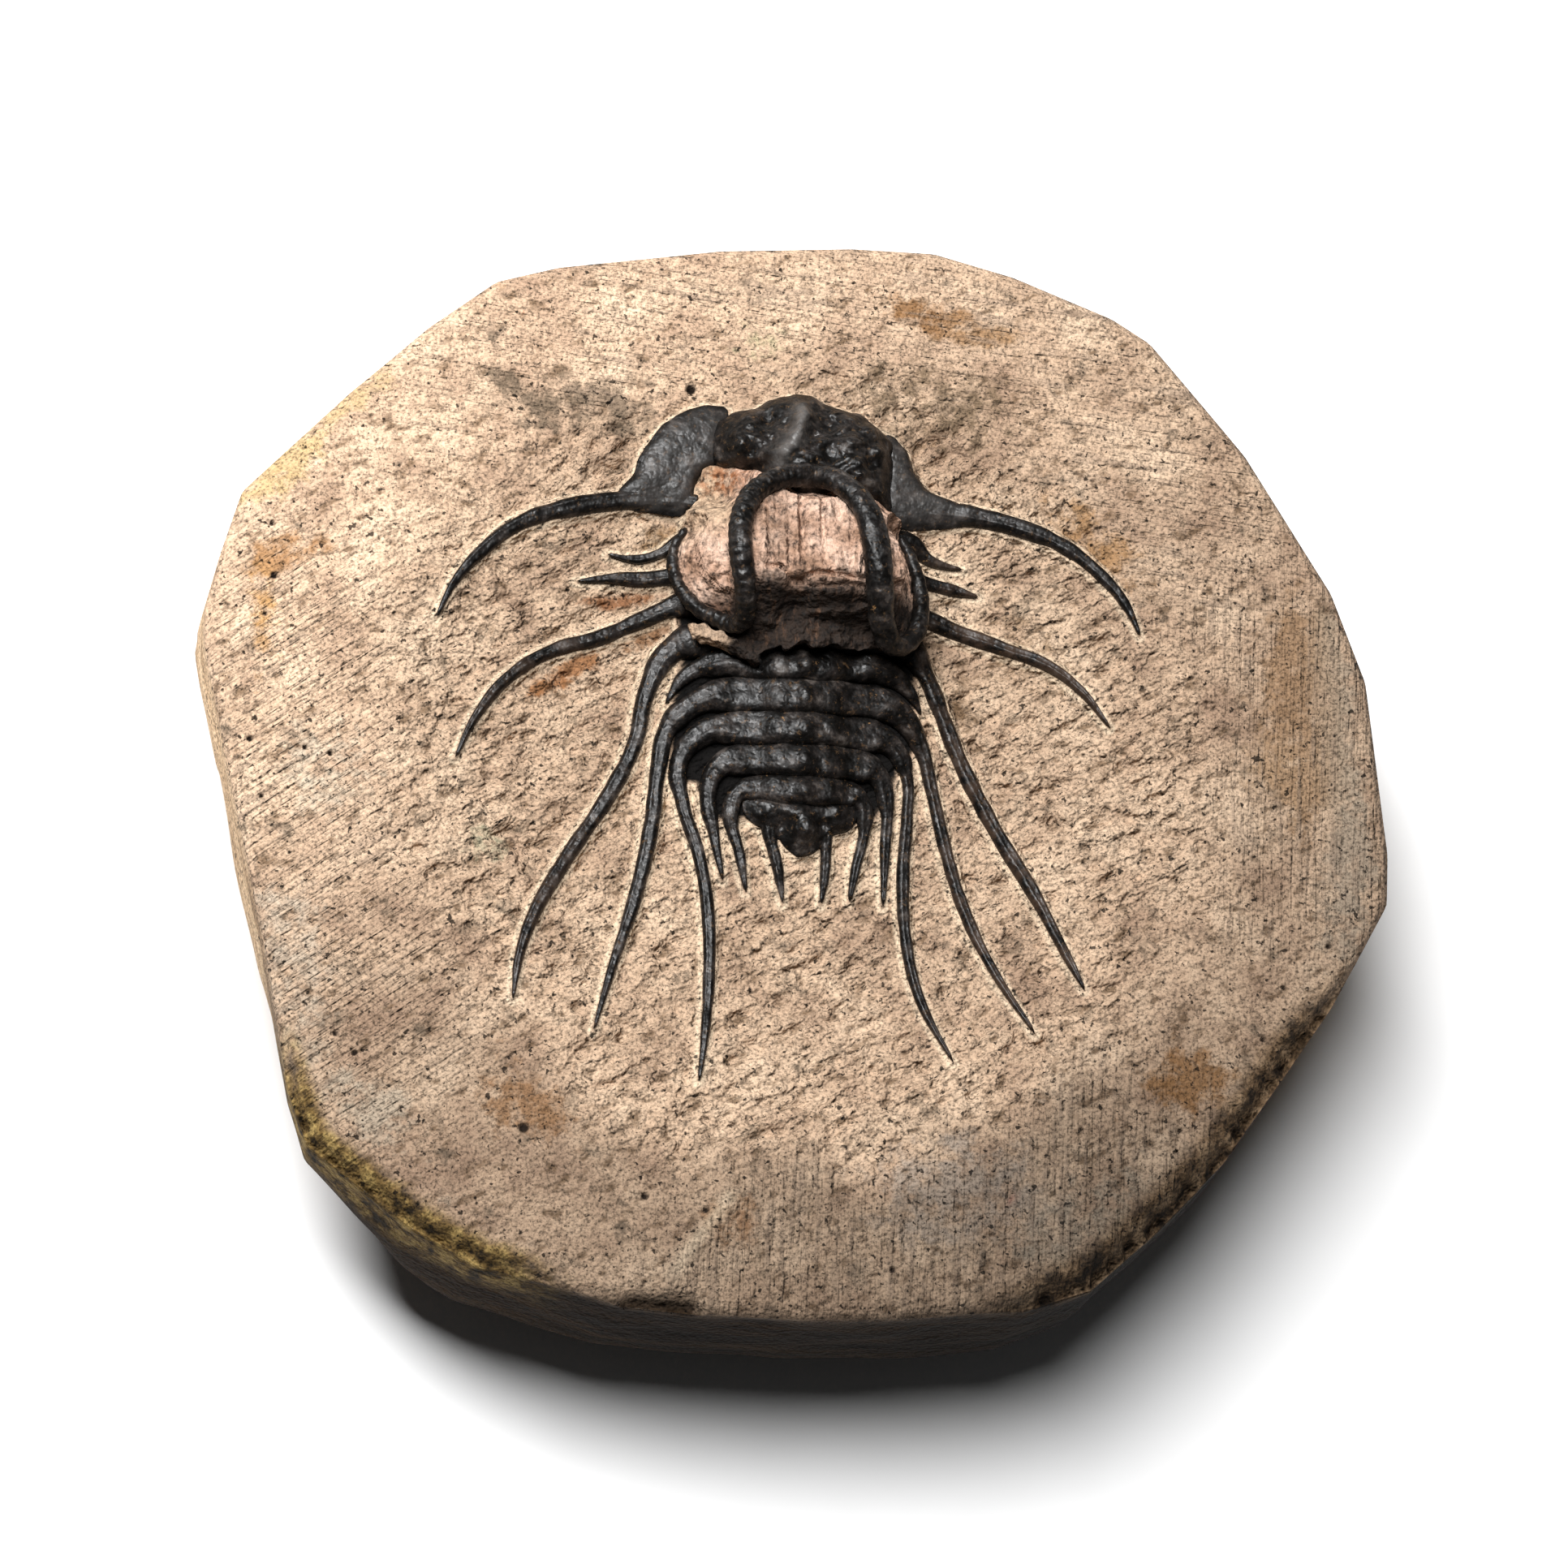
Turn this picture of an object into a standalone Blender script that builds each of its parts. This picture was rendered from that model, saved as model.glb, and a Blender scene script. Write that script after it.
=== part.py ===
"""A dicranurus trilobite fossil lying in the carved dish of its limestone block.

The block rests on its flat spot at z = 0, with the origin under the middle of it.
+Y points to the animal's head and +X to the right of the face seen from above.
Every number below is in millimetres, and the meshes are made in metres.
"""

import math

import bmesh
import bpy
from mathutils import Vector

MM = 0.001

# Clearances: touching pieces keep this gap, and shells lie this much into it at their middle line
GAP = 0.3
SEAT = 0.52
PLATE_SINK = 0.04

# The block: heights over the flat spot, and the outline of its top face from the left corner round
RIM_HEIGHT = 30.0
BLOCK_SEGMENTS = 72
BLOCK_OUTLINE = [
    (-58.0, 27.0), (-47.0, 38.5), (-39.0, 46.0), (-32.0, 51.5), (-25.5, 53.5), (-8.5, 56.5),
    (5.5, 57.6), (14.0, 57.6), (22.5, 55.5), (33.0, 51.5), (37.0, 49.0), (47.0, 37.0),
    (56.0, 22.5), (59.5, 13.0), (61.55, -5.5), (61.35, -11.0), (55.5, -22.0), (44.0, -39.0),
    (36.0, -47.5), (30.0, -53.0), (23.0, -55.5), (11.0, -57.0), (0.0, -57.6), (-9.0, -57.4),
    (-18.5, -56.8), (-33.0, -53.0), (-39.5, -49.5), (-50.0, -41.5), (-52.0, -36.0),
    (-55.0, -20.0), (-61.15, 8.5), (-61.85, 12.5), (-60.0, 20.5),
]
# Shares of the way from the middle to the edge at which the top face has a ring of points
TOP_RINGS = [0.09, 0.18, 0.26, 0.34, 0.42, 0.50, 0.58, 0.66, 0.74, 0.82, 0.91]
# Heights at which the wall has a ring of points, down to the rim of the flat spot
WALL_RINGS = [24.0, 18.0, 12.0, 7.0, 3.0, 0.0]
FLAT_SPOT_SHARE = 0.77
FLAT_SPOT_INNER = 0.40
# The wall stands upright down to this height and draws in below it. In the directions listed, in
# degrees with their half angles, it starts to draw in this much higher or lower
UPRIGHT_TO = 16.0
WALL_CHANGES = [("left", 180.0, 45.0, 10.0), ("lower left", -142.0, 14.0, 4.0), ("lower", -95.0, 38.0, -3.0)]

# The dish carved round the animal, and the low mound left under its body
DISH_MIDDLE = (-1.0, 0.0)
DISH_HALF_SIZE = (44.0, 42.0)
DISH_FLAT = 0.45
DISH_DEPTH = 2.6
MOUND_MIDDLE = (-0.3, 15.0)
MOUND_HALF_SIZE = (17.5, 31.0)
MOUND_HEIGHT = 2.5

# Worn edges: direction in degrees, half angle, width across the top and depth down the wall
EDGE_WIDTH = 0.7
EDGE_DEPTH = 0.8
WORN_EDGES = [
    ("saw cut lower right", -45.0, 24.0, 2.6, 2.4),
    ("crust lower left", -132.0, 16.0, 1.6, 2.0),
    ("weathered upper left", 148.0, 14.0, 1.6, 1.2),
    ("chip in the lower edge", -104.0, 4.0, 2.0, 3.0),
]
# Low swells of the ground face: (x, y, reach, height)
FACE_SWELLS = [
    (-48.0, 20.0, 13.0, 0.5), (38.0, 34.0, 14.0, 0.5), (-40.0, -32.0, 12.0, -0.5),
    (30.0, -38.0, 15.0, 0.5), (-8.0, 46.0, 13.0, -0.4), (52.0, -4.0, 11.0, -0.5),
]
# The pale ridge beside the chip in the lower edge
CHIP_RIDGE = ((-7.5, -45.5), (-13.2, -53.5))
CHIP_RIDGE_HALF_WIDTH = 1.5
CHIP_RIDGE_HEIGHT = 0.7

# Spines and bands are listed as (x, y, half width), and each lies on the rock
SPINE_FACETS = 1
HORN_FACETS = 2
CURVE_STEPS = 2
LEFT_CHEEK_SPINE = [
    (-10.6, 28.3, 1.0), (-14.0, 28.6, 1.1), (-19.0, 28.1, 1.0), (-24.5, 26.9, 0.95), (-29.4, 24.9, 0.85),
    (-33.4, 21.6, 0.65), (-36.3, 17.9, 0.4), (-38.0, 14.2, 0.15),
]
RIGHT_CHEEK_SPINE = [
    (10.8, 28.7, 1.1), (14.3, 28.8, 1.25), (18.4, 28.4, 1.1), (22.9, 27.4, 0.9), (27.2, 25.7, 0.8),
    (31.0, 22.9, 0.7), (33.8, 19.7, 0.5), (35.4, 16.4, 0.15),
]
# Each segment: height on the axis, half length of its band, left spine, right spine from the root out
SEGMENTS = [
    (24.6, 1.4, [(-12.6, 24.2, 0.7), (-14.8, 22.9, 0.5), (-17.2, 22.2, 0.45), (-20.2, 22.5, 0.15)],
     [(11.4, 25.0, 0.8), (13.6, 23.7, 0.6), (17.0, 23.0, 0.15)]),
    (21.4, 1.4, [(-13.0, 20.6, 0.85), (-16.5, 20.1, 0.8), (-19.3, 20.0, 0.6), (-23.4, 19.4, 0.15)],
     [(12.0, 21.4, 0.85), (15.3, 20.9, 0.7), (18.7, 20.2, 0.15)]),
    (18.1, 1.45, [(-12.6, 17.5, 0.95), (-16.5, 15.8, 0.85), (-20.9, 13.6, 0.75), (-25.4, 12.0, 0.75),
                  (-30.0, 8.9, 0.65), (-33.7, 4.1, 0.45), (-35.8, -0.5, 0.15)],
     [(12.3, 17.7, 1.0), (16.5, 16.3, 0.85), (21.4, 14.7, 0.75), (25.9, 13.0, 0.65), (29.3, 10.4, 0.5),
      (32.3, 6.5, 0.15)]),
    (14.7, 1.5, [(-10.4, 13.9, 1.5), (-13.6, 12.4, 1.25), (-15.9, 8.1, 0.95), (-17.0, 2.8, 0.85),
                 (-19.4, -2.5, 0.8), (-24.3, -10.5, 0.75), (-27.5, -16.5, 0.65), (-29.0, -21.0, 0.5),
                 (-29.7, -25.8, 0.15)],
     [(10.8, 14.4, 1.3), (13.1, 11.4, 1.0), (15.0, 7.0, 0.85), (16.8, 2.4, 0.85), (20.2, -4.4, 0.8),
      (24.4, -11.8, 0.7), (27.3, -18.0, 0.5), (29.2, -22.0, 0.15)]),
    (11.1, 1.45, [(-5.0, 11.1, 1.3), (-8.9, 11.1, 1.05), (-11.9, 9.9, 0.6), (-14.0, 6.9, 0.15)],
     [(5.5, 11.4, 1.3), (8.6, 11.2, 1.05), (11.2, 9.6, 0.6), (12.7, 7.2, 0.15)]),
    (7.6, 1.45, [(-7.0, 7.8, 1.35), (-10.6, 7.1, 1.1), (-13.6, 4.4, 0.85), (-14.6, 0.2, 0.8),
                 (-15.3, -6.0, 0.8), (-16.9, -13.6, 0.7), (-19.2, -21.0, 0.5), (-21.4, -28.6, 0.15)],
     [(7.0, 7.8, 1.35), (10.2, 6.9, 1.05), (12.6, 3.6, 0.75), (13.8, -0.8, 0.7), (15.1, -6.6, 0.7),
      (17.0, -13.2, 0.65), (20.2, -20.5, 0.5), (24.0, -26.9, 0.15)]),
    (4.2, 1.4, [(-7.0, 4.3, 1.3), (-10.4, 3.6, 1.0), (-12.5, 0.8, 0.75), (-12.1, -3.6, 0.7),
                (-10.4, -9.0, 0.7), (-9.4, -15.4, 0.65), (-9.4, -23.0, 0.6), (-9.9, -28.4, 0.45),
                (-10.6, -33.4, 0.15)],
     [(6.6, 4.3, 1.3), (9.4, 3.5, 0.95), (11.1, 0.6, 0.65), (11.2, -4.0, 0.65), (10.8, -9.6, 0.65),
      (11.0, -16.4, 0.6), (12.4, -23.5, 0.5), (15.6, -30.3, 0.15)]),
    (0.9, 1.35, [(-6.0, 1.0, 1.2), (-8.4, 0.3, 0.9), (-9.5, -2.0, 0.7), (-8.9, -6.6, 0.6),
                 (-7.9, -11.5, 0.2)],
     [(5.8, 1.0, 1.2), (7.9, 0.3, 0.85), (8.9, -2.2, 0.65), (8.9, -7.6, 0.55), (8.7, -13.5, 0.2)]),
    (-2.2, 1.2, [(-4.4, -2.0, 1.1), (-6.6, -2.6, 0.75), (-7.2, -4.6, 0.65), (-6.2, -8.8, 0.55),
                 (-5.5, -12.6, 0.2)],
     [(4.4, -2.1, 1.1), (6.2, -2.7, 0.7), (6.7, -5.0, 0.6), (5.8, -9.8, 0.55), (5.2, -13.1, 0.2)]),
]
AXIS_LOBE_HALF_WIDTH = 4.2
AXIS_LOBE_HEIGHT = 0.9
AXIS_KNOB_HEIGHT = 0.6
AXIS_KNOB_REACH = 1.1

# The head: outlines seen from above, heights over the rock, and where its back slopes down to the front
HEAD_SLOPE = (28.0, 39.0)
HEAD_FACES = (28, 12)
CRANIDIUM_MIDDLE = (0.5, 33.0)
CRANIDIUM_OUTLINE = [
    (-7.0, 37.4), (-4.0, 38.7), (-1.3, 39.8), (2.0, 39.3), (5.6, 38.1), (8.3, 36.5), (8.7, 33.0),
    (8.6, 28.8), (5.0, 27.4), (0.0, 27.2), (-4.4, 28.0), (-5.2, 31.2), (-8.8, 32.2), (-9.2, 35.0),
]
HEAD_FRONT_HEIGHT = 4.2
HEAD_BACK_HEIGHT = 6.6
HEAD_EDGE_HEIGHT = 1.2
# Lumps of the head: (x, y, reach, height)
HEAD_LUMPS = [
    (-1.2, 38.0, 1.5, 0.9), (-1.8, 35.4, 1.5, 1.2), (-2.2, 32.6, 1.6, 1.0), (-4.8, 35.6, 1.3, -0.9),
    (3.0, 35.0, 1.6, -0.7), (-7.6, 34.2, 1.3, 1.6), (7.2, 35.6, 1.5, 1.8), (4.8, 31.4, 1.7, 0.6),
]
LEFT_CHEEK_MIDDLE = (-12.6, 32.8)
LEFT_CHEEK_OUTLINE = [
    (-7.9, 38.3), (-11.2, 38.2), (-14.5, 35.9), (-16.7, 32.8), (-17.2, 29.8), (-13.5, 28.4), (-10.4, 28.2),
    (-9.3, 30.0), (-9.5, 32.0), (-9.8, 35.2),
]
RIGHT_CHEEK_MIDDLE = (10.2, 31.4)
RIGHT_CHEEK_OUTLINE = [
    (9.1, 36.2), (10.3, 35.3), (10.7, 33.2), (12.6, 30.6), (13.2, 28.6), (11.6, 27.6), (9.2, 28.4),
    (9.1, 32.6),
]
CHEEK_FACES = (20, 6)
CHEEK_HEIGHT = 1.6
CHEEK_EDGE_HEIGHT = 0.9

# The ram's horns: (x, y, z, half width) from the ring at the back of the head to the tip
LEFT_HORN = [
    (1.6, 30.0, 33.6, 1.3), (-0.8, 29.8, 36.0, 1.3), (-3.8, 28.9, 37.2, 1.15), (-6.5, 26.8, 38.3, 1.15),
    (-7.9, 23.8, 39.3, 1.2), (-8.1, 20.2, 39.7, 1.2), (-7.6, 17.2, 38.9, 1.15), (-7.1, 14.8, 36.8, 1.1),
    (-7.5, 13.9, 34.6, 1.0), (-9.4, 14.8, 33.0, 0.85), (-11.9, 16.6, 32.1, 0.75), (-13.6, 19.6, 31.7, 0.65),
    (-13.7, 22.6, 31.6, 0.5), (-12.4, 25.0, 31.6, 0.3),
]
RIGHT_HORN = [
    (-1.4, 30.0, 33.6, 1.3), (1.0, 29.8, 36.0, 1.3), (3.0, 28.4, 37.6, 1.15), (4.8, 25.8, 38.9, 1.15),
    (5.8, 22.4, 39.6, 1.2), (6.2, 19.2, 39.6, 1.2), (6.6, 16.2, 38.3, 1.15), (7.4, 13.6, 36.0, 1.1),
    (8.9, 12.5, 34.2, 1.0), (10.9, 13.8, 33.0, 0.85), (11.9, 16.6, 32.3, 0.75), (11.9, 19.8, 31.8, 0.65),
    (11.1, 22.9, 31.6, 0.5), (9.9, 25.3, 31.6, 0.3),
]

# The stone left under and between the horns, where it rises, and where the shell under it ends
STONE_SLOPE = (17.0, 29.0)
STONE_FACES = (30, 12)
SHELL_FRONT = (26.2, 27.6)
STONE_MIDDLE = (-1.0, 20.5)
STONE_OUTLINE = [
    (-13.4, 23.0), (-13.7, 20.6), (-12.6, 17.4), (-10.4, 15.2), (-7.6, 13.6), (-4.6, 12.0), (0.5, 12.2),
    (5.6, 12.6), (9.6, 13.2), (11.5, 15.8), (11.6, 19.6), (10.6, 23.6), (8.8, 26.4), (3.0, 26.7),
    (-5.3, 26.9), (-6.2, 30.4), (-8.4, 31.0), (-8.8, 29.6), (-10.0, 27.6), (-12.2, 26.2),
]
STONE_FRONT_TOP = 36.6
STONE_REAR_TOP = 39.5
STONE_EDGE_HEIGHT = 0.8
SHELL_HEIGHT = 2.35
SHELL_KNOB_REACH = 2.45

# The tail plate
TAIL_MIDDLE = (-0.1, -5.0)
TAIL_OUTLINE = [
    (-5.8, -3.9), (-3.0, -4.0), (3.0, -4.0), (5.5, -3.9), (5.2, -5.3), (3.4, -5.8), (2.3, -7.2), (0.7, -8.6),
    (-1.0, -7.9), (-2.0, -6.4), (-4.2, -5.4),
]
TAIL_FACES = (24, 8)
TAIL_HEIGHT = 1.9
TAIL_EDGE_HEIGHT = 0.9
TAIL_KNOB = (0.5, -7.0, 1.1, 1.2)
LEFT_TAIL_SPINE = [(-3.6, -4.9, 0.8), (-3.1, -7.0, 0.7), (-2.3, -10.0, 0.6), (-1.7, -13.7, 0.2)]
RIGHT_TAIL_SPINE = [(2.6, -5.0, 0.8), (2.7, -7.4, 0.65), (2.6, -10.4, 0.55), (2.3, -13.5, 0.2)]


def clear_scene():
    """Start from an empty scene."""
    for item in list(bpy.data.objects):
        bpy.data.objects.remove(item, do_unlink=True)


def make_material(name, colour, roughness):
    """A plain Principled material."""
    material = bpy.data.materials.new(name)
    material.use_nodes = True
    shader = material.node_tree.nodes["Principled BSDF"]
    shader.inputs["Base Color"].default_value = (*colour, 1.0)
    shader.inputs["Roughness"].default_value = roughness
    shader.inputs["Metallic"].default_value = 0.0
    material.diffuse_color = (*colour, 1.0)
    return material


def smooth_step(low, high, value):
    """0 below low, 1 above high, with a soft run between."""
    share = min(1.0, max(0.0, (value - low) / (high - low)))
    return share * share * (3.0 - 2.0 * share)


def lump(x, y, lumps):
    """Sum of soft lumps at a point."""
    total = 0.0
    for lump_x, lump_y, reach, height in lumps:
        away = math.hypot(x - lump_x, y - lump_y) / reach
        total += height * math.exp(-away * away)
    return total


def distance_to_run(x, y, start, end):
    """Distance of a point from a straight run."""
    run = Vector(end) - Vector(start)
    share = (Vector((x, y)) - Vector(start)).dot(run) / run.length_squared
    nearest = Vector(start) + run * min(1.0, max(0.0, share))
    return (Vector((x, y)) - nearest).length


def away_from(middle, half_size, x, y):
    """0 at the middle of an oval and 1 on its edge."""
    return math.hypot((x - middle[0]) / half_size[0], (y - middle[1]) / half_size[1])


def rock_height(x, y):
    """Height of the block's top face."""
    from_dish = away_from(DISH_MIDDLE, DISH_HALF_SIZE, x, y)
    from_body = away_from(MOUND_MIDDLE, MOUND_HALF_SIZE, x, y)
    height = RIM_HEIGHT - DISH_DEPTH * (1.0 - smooth_step(DISH_FLAT, 1.0, from_dish))
    height += MOUND_HEIGHT * (1.0 - smooth_step(0.15, 1.0, from_body))
    ridge = distance_to_run(x, y, *CHIP_RIDGE) / CHIP_RIDGE_HALF_WIDTH
    height += CHIP_RIDGE_HEIGHT * math.exp(-ridge * ridge)
    return height + lump(x, y, FACE_SWELLS)


def outline_reach(outline, middle, angle):
    """Distance from the middle to a closed outline in one direction."""
    ray = Vector((math.cos(angle), math.sin(angle)))
    origin = Vector(middle)
    best = 0.0
    for index, corner in enumerate(outline):
        start = Vector(corner) - origin
        side = Vector(outline[(index + 1) % len(outline)]) - origin - start
        cross = ray.cross(side)
        if abs(cross) < 1e-9:
            continue
        along = start.cross(side) / cross
        share = start.cross(ray) / cross
        if along > 0.0 and -1e-6 <= share <= 1.0 + 1e-6:
            best = max(best, along)
    return best


def turn_share(angle, direction, half_angle):
    """1 in a direction given in degrees, 0 well past the half angle on either side of it."""
    away = abs((math.degrees(angle) - direction + 180.0) % 360.0 - 180.0) / half_angle
    return 1.0 - smooth_step(0.7, 1.3, away)


def wall_share(angle, height):
    """How far out the wall stands at a height, as a share of the outline."""
    upright_to = UPRIGHT_TO
    for _, direction, half_angle, change in WALL_CHANGES:
        upright_to += change * turn_share(angle, direction, half_angle)
    below = max(0.0, upright_to - height) / upright_to
    return 1.0 - (1.0 - FLAT_SPOT_SHARE) * below * below


def edge_wear(angle):
    """Width and depth of the worn edge in one direction."""
    width = EDGE_WIDTH
    depth = EDGE_DEPTH
    for _, direction, half_angle, worn_width, worn_depth in WORN_EDGES:
        share = turn_share(angle, direction, half_angle)
        width += (worn_width - EDGE_WIDTH) * share
        depth += (worn_depth - EDGE_DEPTH) * share
    return width, depth


def link(mesh, name, material, collection):
    """Put a finished mesh into the collection as a named object."""
    mesh.materials.clear()
    mesh.materials.append(material)
    mesh.shade_smooth()
    mesh.set_sharp_from_angle(angle=math.radians(40.0))
    item = bpy.data.objects.new(name, mesh)
    collection.objects.link(item)
    return item


def round_body(name, segments, rings, place):
    """A sphere whose points are moved by place(ring, angle), ring 0 and the last being the poles."""
    body = bmesh.new()
    bmesh.ops.create_uvsphere(body, u_segments=segments, v_segments=rings, radius=1.0)
    for point in body.verts:
        ring = round(math.acos(max(-1.0, min(1.0, point.co.z))) / math.pi * rings)
        angle = math.atan2(point.co.y, point.co.x)
        point.co = Vector(place(ring, angle)) * MM
    bmesh.ops.triangulate(body, faces=body.faces)
    mesh = bpy.data.meshes.new(name)
    body.to_mesh(mesh)
    body.free()
    return mesh


def make_block(material, collection):
    """The limestone block, from the middle of its face over the edge to its flat spot."""
    rings = len(TOP_RINGS) + 2 + len(WALL_RINGS) + 2

    def place(ring, angle):
        reach = outline_reach(BLOCK_OUTLINE, (0.0, 0.0), angle)
        width, depth = edge_wear(angle)
        inner = 1.0 - width / reach
        wall_ring = ring - len(TOP_RINGS) - 3
        if ring == 0:
            share, height = 0.0, rock_height(0.0, 0.0)
        elif ring <= len(TOP_RINGS):
            share = TOP_RINGS[ring - 1]
            height = rock_height(reach * share * math.cos(angle), reach * share * math.sin(angle))
        elif wall_ring < 0:
            share = (inner, 1.0)[ring - len(TOP_RINGS) - 1]
            height = rock_height(reach * share * math.cos(angle), reach * share * math.sin(angle))
            height -= depth if share == 1.0 else 0.0
        elif wall_ring < len(WALL_RINGS):
            height = WALL_RINGS[wall_ring]
            share = wall_share(angle, height)
        else:
            share = (FLAT_SPOT_INNER, 0.0)[wall_ring - len(WALL_RINGS)]
            height = 0.0
        return (reach * share * math.cos(angle), reach * share * math.sin(angle), height)

    mesh = round_body("limestone_block", BLOCK_SEGMENTS, rings, place)
    return link(mesh, "limestone_block", material, collection)


def dome(name, outline, middle, top, bottom, faces):
    """A closed body over an outline, with its upper and lower faces given as heights."""
    segments, rings = faces
    half = rings // 2

    def place(ring, angle):
        share = ring / half if ring <= half else (rings - ring) / half
        reach = outline_reach(outline, middle, angle) * share
        x = middle[0] + reach * math.cos(angle)
        y = middle[1] + reach * math.sin(angle)
        height = top(x, y, share) if ring <= half else bottom(x, y)
        return (x, y, height)

    return round_body(name, segments, rings, place)


def tube(name, points, facets, twist):
    """A mesh tube on a smooth curve through (x, y, z, half width) points, with closed ends."""
    curve = bpy.data.curves.new(name, "CURVE")
    curve.dimensions = "3D"
    curve.bevel_depth = MM
    curve.bevel_resolution = facets
    curve.twist_mode = twist
    curve.use_fill_caps = True
    curve.resolution_u = CURVE_STEPS
    spline = curve.splines.new("BEZIER")
    spline.bezier_points.add(len(points) - 1)
    for knot, (x, y, z, half_width) in zip(spline.bezier_points, points):
        knot.co = Vector((x, y, z)) * MM
        knot.radius = half_width
        knot.handle_left_type = "AUTO"
        knot.handle_right_type = "AUTO"
    item = bpy.data.objects.new(name, curve)
    bpy.context.scene.collection.objects.link(item)
    graph = bpy.context.evaluated_depsgraph_get()
    mesh = bpy.data.meshes.new_from_object(item.evaluated_get(graph))
    bpy.data.objects.remove(item, do_unlink=True)
    body = bmesh.new()
    body.from_mesh(mesh)
    bmesh.ops.remove_doubles(body, verts=body.verts, dist=0.00001)
    bmesh.ops.recalc_face_normals(body, faces=body.faces)
    body.to_mesh(mesh)
    body.free()
    return mesh


def lay_on_rock(mesh):
    """Lift the underside of a shell so that it lies just over the rock."""
    for point in mesh.vertices:
        floor = (rock_height(point.co.x / MM, point.co.y / MM) + GAP) * MM
        point.co.z = max(point.co.z, floor)


def spine(name, points):
    """A spine or band that lies on the rock, half sunk like a rod in sand."""
    lying = [(x, y, rock_height(x, y) + SEAT, half_width) for x, y, half_width in points]
    mesh = tube(name, lying, SPINE_FACETS, "Z_UP")
    lay_on_rock(mesh)
    return mesh


def horn(name, points):
    """A ram's horn, which stands free of the rock."""
    return tube(name, points, HORN_FACETS, "MINIMUM")


def join(mesh, others, collection, name):
    """Union the other meshes into the first."""
    main = bpy.data.objects.new(name, mesh)
    collection.objects.link(main)
    for index, other in enumerate(others):
        tool = bpy.data.objects.new(f"{name}_join_{index}", other)
        collection.objects.link(tool)
        tool.hide_render = True
        tool.display_type = "WIRE"
        step = main.modifiers.new(f"join {index}", "BOOLEAN")
        step.operation = "UNION"
        step.solver = "EXACT"
        step.object = tool
    return main


def cut(item, cutters, collection):
    """Cut the given meshes out of an object."""
    for index, cutter in enumerate(cutters):
        tool = bpy.data.objects.new(f"{item.name}_cut_{index}", cutter)
        collection.objects.link(tool)
        tool.hide_render = True
        tool.display_type = "WIRE"
        step = item.modifiers.new(f"cut {index}", "BOOLEAN")
        step.operation = "DIFFERENCE"
        step.solver = "EXACT"
        step.object = tool


def settle(item, material, collection):
    """Apply the modifiers and put the result in the fossil's own collection."""
    bpy.context.view_layer.update()
    graph = bpy.context.evaluated_depsgraph_get()
    mesh = bpy.data.meshes.new_from_object(item.evaluated_get(graph))
    name = item.name
    for step in item.modifiers:
        bpy.data.objects.remove(step.object, do_unlink=True)
    bpy.data.objects.remove(item, do_unlink=True)
    mesh.name = name
    return link(mesh, name, material, collection)


def lobe_rise(x):
    """How much higher the axial lobe stands than the bands beside it."""
    return AXIS_LOBE_HEIGHT * (1.0 - smooth_step(0.7, 1.15, abs(x) / AXIS_LOBE_HALF_WIDTH))


def axis_lobe(mesh, height_on_axis):
    """Raise the middle of a band into the axial lobe with its small knob."""
    for point in mesh.vertices:
        x = point.co.x / MM
        y = point.co.y / MM
        floor = rock_height(x, y) + GAP
        share = min(1.0, max(0.0, (point.co.z / MM - floor) / SEAT))
        from_knob = math.hypot(x, y - height_on_axis) / AXIS_KNOB_REACH
        knob = AXIS_KNOB_HEIGHT * math.exp(-from_knob * from_knob)
        point.co.z += share * (lobe_rise(x) + knob) * MM


def make_segment(number, values, material, collection):
    """One band of the thorax with its left and right spine."""
    height_on_axis, half_length, left, right = values
    reach = min(abs(left[0][0]), right[0][0])
    steps = [-AXIS_LOBE_HALF_WIDTH * 0.6, 0.0, AXIS_LOBE_HALF_WIDTH * 0.6]
    if reach > 2.2 * AXIS_LOBE_HALF_WIDTH:
        steps = [-1.7 * AXIS_LOBE_HALF_WIDTH] + steps + [1.7 * AXIS_LOBE_HALF_WIDTH]
    band = [(x, height_on_axis, half_length) for x in steps]
    mesh = spine(f"thoracic_segment_{number}", list(reversed(left)) + band + right)
    axis_lobe(mesh, height_on_axis)
    return link(mesh, f"thoracic_segment_{number}", material, collection)


def head_top(x, y, share):
    """Height of the middle of the head."""
    back = 1.0 - smooth_step(*HEAD_SLOPE, y)
    full = HEAD_FRONT_HEIGHT + (HEAD_BACK_HEIGHT - HEAD_FRONT_HEIGHT) * back
    rise = HEAD_EDGE_HEIGHT + (full - HEAD_EDGE_HEIGHT) * (1.0 - share ** 2.2) ** 0.7
    return rock_height(x, y) + rise + lump(x, y, HEAD_LUMPS) * (1.0 - share ** 4)


def rock_seat(x, y):
    """The rock's height with the gap that a piece on it keeps."""
    return rock_height(x, y) + GAP


def plate_seat(x, y):
    """The underside of a plate, a hair lower than that of the spines that grow from it."""
    return rock_seat(x, y) - PLATE_SINK


def make_cranidium(material, collection, workshop):
    """The middle of the head with its two ram's horns."""
    head = dome("cranidium", CRANIDIUM_OUTLINE, CRANIDIUM_MIDDLE, head_top, plate_seat, HEAD_FACES)
    horns = [horn("left_horn", LEFT_HORN), horn("right_horn", RIGHT_HORN)]
    item = join(head, horns, workshop, "cranidium")
    return settle(item, material, collection)


def make_cheek(name, outline, middle, points, material, collection, workshop):
    """A cheek plate with its long spine."""
    def top(x, y, share):
        rise = CHEEK_EDGE_HEIGHT + (CHEEK_HEIGHT - CHEEK_EDGE_HEIGHT) * (1.0 - share ** 2.5)
        return rock_height(x, y) + rise

    plate = dome(name, outline, middle, top, plate_seat, CHEEK_FACES)
    item = join(plate, [spine(f"{name}_spine", points)], workshop, name)
    return settle(item, material, collection)


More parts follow.
